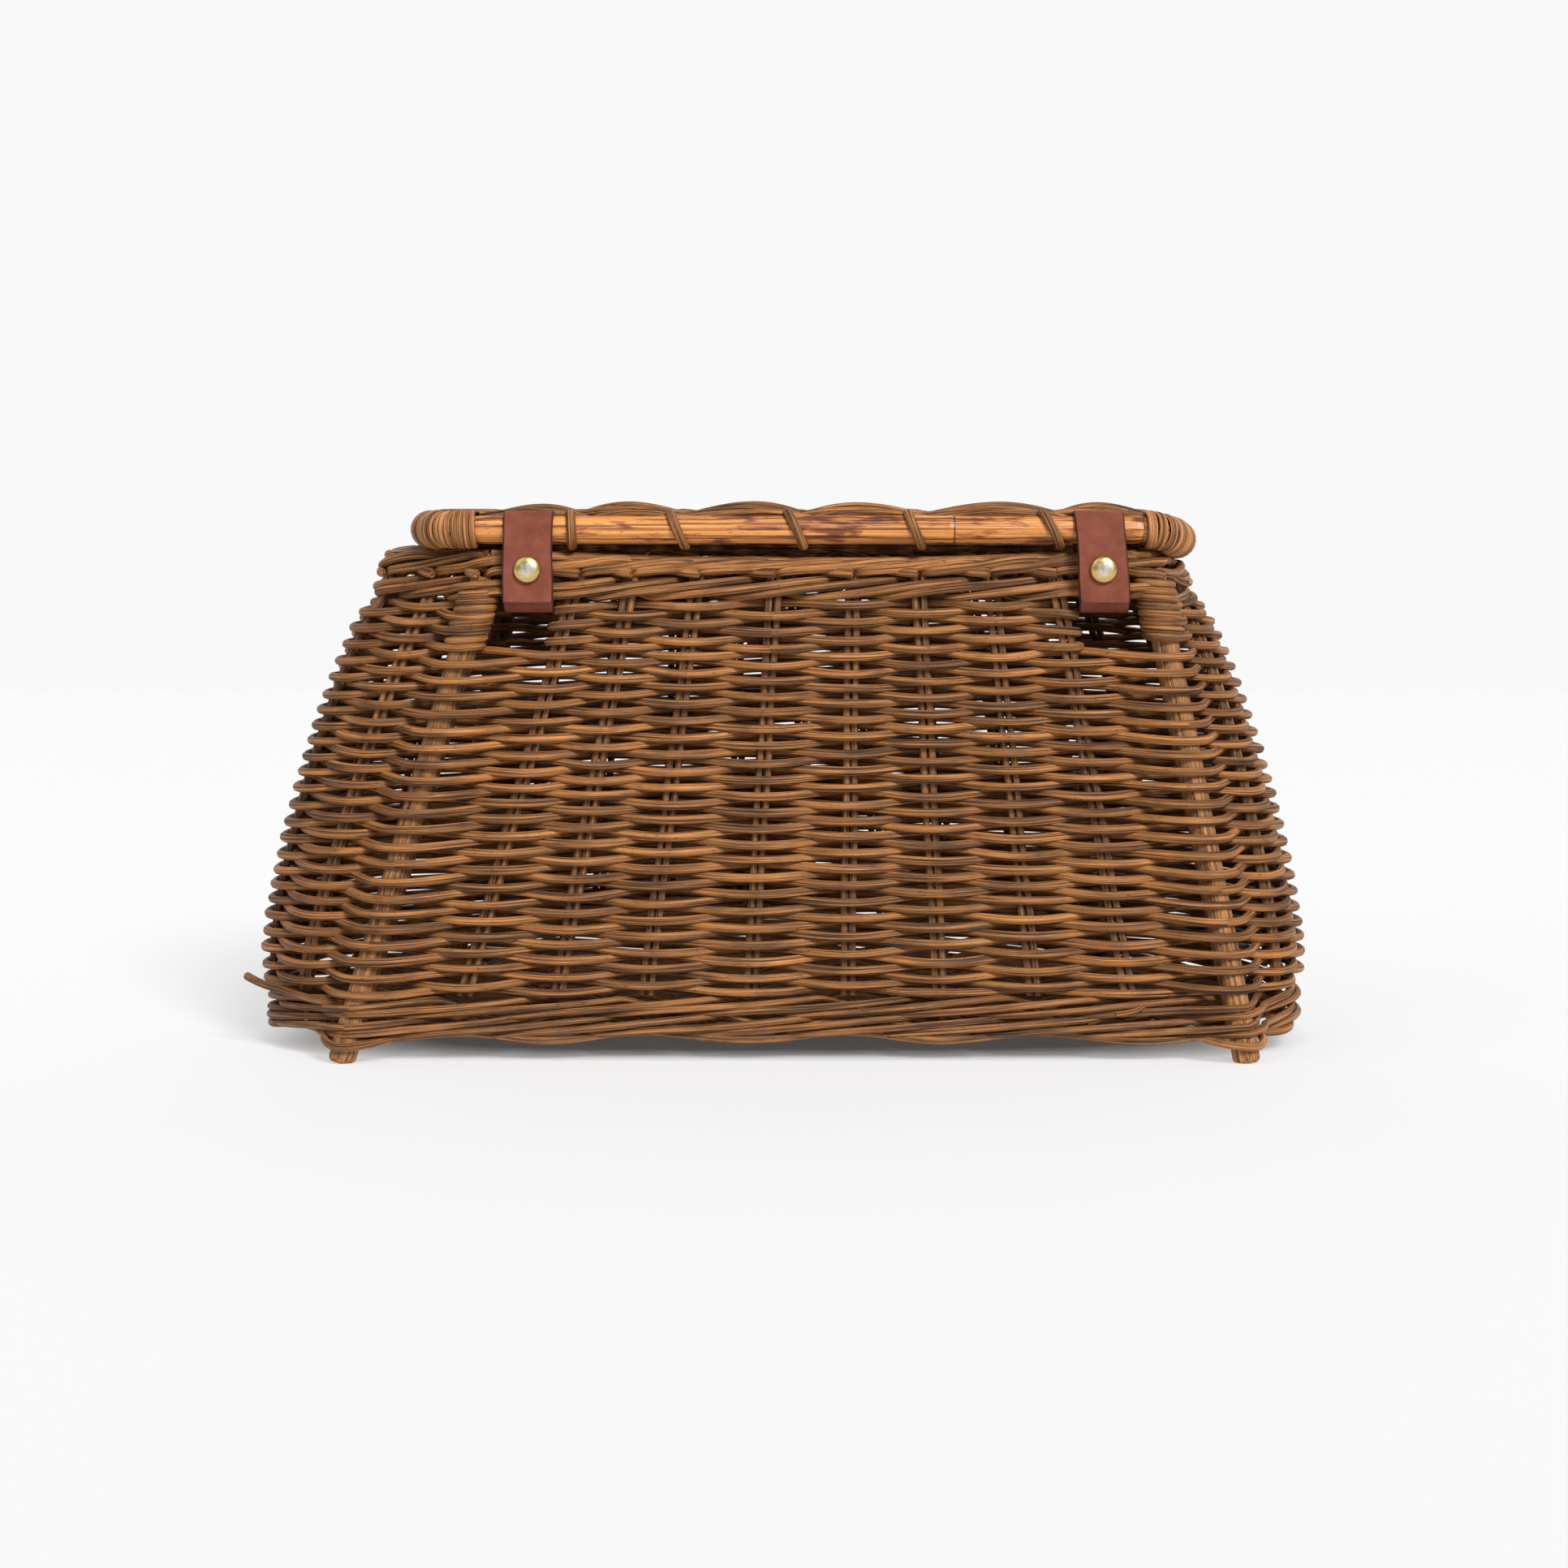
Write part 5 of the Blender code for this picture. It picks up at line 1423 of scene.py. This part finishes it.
def rivet(prefix, body, outward_y, material):
    """The cap and its burr, each in the place of its CAD node."""
    profile, tones = rivet_parts()
    for kind, way, rise, shape, wear in (("_rivet", 1, 0.0026, profile, tones),
                                         ("_burr", -1, 0.0, BURR, [0.4] * len(BURR))):
        low, high = (np.array(corner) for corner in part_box(prefix + kind))
        middle = (low + high) / 2
        face = low[1] if outward_y < 0 else high[1]
        strands = Strands()
        turned(strands, (middle[0], face - outward_y * rise, middle[2]), (0, way * outward_y, 0), shape, wear)
        place(strands, prefix + kind + "_brass", material, prefix + kind, body)


def stud(brass_finish, leather_finish):
    """A knob on a leather patch, fixed through the front wall."""
    bay = np.array([HINGE_BAYS + (BAYS - HINGE_BAYS) / 2])
    low = on_wall(bay, STUD_Z - 0.01, 0.0)[0]
    high = on_wall(bay, STUD_Z + 0.01, 0.0)[0]
    out = unit(np.array((0.0, 0.02, low[1] - high[1])))
    seat = on_wall(bay, STUD_Z, 0.0)[0] + out * (WALL_THICKNESS / 2 + 0.0003)
    flange = PATCH_THICKNESS + 0.0003
    profile = [(0.0, -0.0106), (0.0014, -0.0106), (0.0016, -0.0104), (0.0016, flange), (0.0036, flange),
               (0.0038, flange + 0.0002), (0.0036, flange + 0.0006), (0.0020, flange + 0.0007)]
    profile += [(0.0028 * sin(a), flange + 0.0034 - 0.0028 * cos(a)) for a in np.linspace(0.62, pi, 16)]
    strands = Strands()
    turned(strands, seat, out, profile, [min(1.0, i / 20) for i in range(len(profile))])
    place(strands, "closure_stud_brass", brass_finish, "closure_stud", "basket")
    thick = PATCH_THICKNESS
    edge = [(PATCH_RADIUS - 0.0006 + 0.0006 * cos(a), thick / 2 + thick / 2 * sin(a))
            for a in np.linspace(-1.5, 1.5, 9)]
    rim = [(0.0, 0.0), (0.004, 0.0), *edge, (0.0060, thick), (0.0040, thick), (0.0, thick)]
    strands = Strands()
    turned(strands, seat, out, rim, [0.0, 0.2] + [0.85] * 9 + [0.1, 0.0, 0.0])
    place(strands, "closure_patch_leather", leather_finish, "closure_patch", "basket")


# ---------------------------------------------------------------- camera, light and floor

def camera():
    data = bpy.data.cameras.new("view")
    data.sensor_width = 36.0
    data.lens = LENS
    obj = bpy.data.objects.new("view", data)
    obj.location = CAMERA_PLACE
    obj.rotation_euler = (radians(90) - CAMERA_TILT, 0.0, 0.0)
    bpy.context.scene.collection.objects.link(obj)
    bpy.context.scene.camera = obj


def sun(name, turn, height, power, softness):
    """A large soft light from one direction: turn is from the camera's side towards the right."""
    data = bpy.data.lights.new(name, "SUN")
    data.energy = power
    data.angle = radians(softness)
    obj = bpy.data.objects.new(name, data)
    obj.rotation_euler = (radians(90 - height), 0.0, radians(turn))
    bpy.context.scene.collection.objects.link(obj)


def lights():
    sun("key", 26, 38, 3.3, 20)
    sun("fill", -55, 40, 0.5, 50)
    world = bpy.data.worlds.new("studio")
    bpy.context.scene.world = world
    world.use_nodes = True
    background = world.node_tree.nodes["Background"]
    background.inputs["Color"].default_value = (0.97, 0.98, 1.0, 1.0)
    background.inputs["Strength"].default_value = 0.29
    bpy.context.scene.view_settings.view_transform = "Standard"


def stage_quad(name, corners, material):
    mesh = bpy.data.meshes.new(name)
    mesh.from_pydata(corners, [], [(0, 1, 2, 3)])
    obj = bpy.data.objects.new(name, mesh)
    bpy.context.scene.collection.objects.link(obj)
    mesh.materials.append(material)


def backdrop_material():
    """A lit paper background."""
    n = Nodes("paper_backdrop", (0.9, 0.9, 0.9), 0.9)
    return n.finish(Base_Color=(0.0, 0.0, 0.0), Emission_Color=(0.947, 0.947, 0.947), Emission_Strength=1.0,
                    Specular_IOR_Level=0.0)


def floor():
    """A quad of floor, and one of backdrop that stands on its far edge."""
    sides = (-FLOOR_HALF_WIDTH, FLOOR_HALF_WIDTH)
    near_left, near_right = ((x, FLOOR_FRONT_Y, FLOOR_Z) for x in sides)
    far_left, far_right = ((x, BACKDROP_Y, FLOOR_Z) for x in sides)
    top_left, top_right = ((x, BACKDROP_Y, BACKDROP_HEIGHT) for x in sides)
    stage_quad("floor", [near_left, near_right, far_right, far_left], floor_material())
    stage_quad("backdrop", [far_left, far_right, top_right, top_left], backdrop_material())


# ---------------------------------------------------------------- the whole basket

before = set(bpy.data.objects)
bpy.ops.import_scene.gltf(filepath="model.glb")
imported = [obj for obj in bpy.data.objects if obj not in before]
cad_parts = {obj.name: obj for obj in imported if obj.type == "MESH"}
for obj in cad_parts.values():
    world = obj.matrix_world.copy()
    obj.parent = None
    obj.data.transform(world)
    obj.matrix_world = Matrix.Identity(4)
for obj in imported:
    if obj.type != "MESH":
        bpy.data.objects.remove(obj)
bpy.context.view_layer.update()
camera()
lights()
floor()

woven = cane_material("woven_cane", (0.025, 0.0080, 0.0025), (0.160, 0.059, 0.0140), (0.410, 0.172, 0.043))
# The stakes' cane is darker than the weavers': painted shade for the stakes, which stand behind the rows.
stake_cane_with_painted_shade = cane_material("stake_cane", (0.036, 0.013, 0.004), (0.145, 0.057, 0.017), (0.280, 0.122, 0.037))
posted = cane_material("post_cane", (0.055, 0.020, 0.007), (0.215, 0.090, 0.028), (0.390, 0.180, 0.058))
wrapped = cane_material("wrapped_cane", (0.045, 0.016, 0.005), (0.255, 0.099, 0.028), (0.525, 0.230, 0.071))
rattan = rod_material()
leather = leather_material()
brass = brass_material()

ALL_ROWS = [Row(number) for number in range(ROWS)]
for panel in PANELS:
    wall_panel(panel, woven)
for panel, (first, last) in PANELS.items():
    for stake_bay in range(first + 1, last):
        stake_pair(f"{panel}_stake_{stake_bay - first}", stake_bay, stake_cane_with_painted_shade)
for post_name, post_bay in POST_BAYS.items():
    post(post_name, post_bay, posted)
wale("bottom_wale_canes", ((WALE_LOWEST, 0.0160), (0.0165, 0.0232)), 0.00140, "bottom_wale", woven, False)
wale("top_wale_canes", ((0.1764, 0.1834),), 0.00164, "top_wale", woven, True)
border(woven)
base_mat(woven)
hoop(wrapped)
rod(rattan)
lashings(woven)
lid_mat(woven)
hinge_strap("left", STRAP_X[0], 0.0, leather)
hinge_strap("right", STRAP_X[1], 0.06, leather)
rivet("hinge_strap_left", "basket", -1, brass)
rivet("hinge_strap_right", "basket", -1, brass)
closure_strap(leather)
rivet("closure_strap", "closure", 1, brass)
stud(brass, leather)
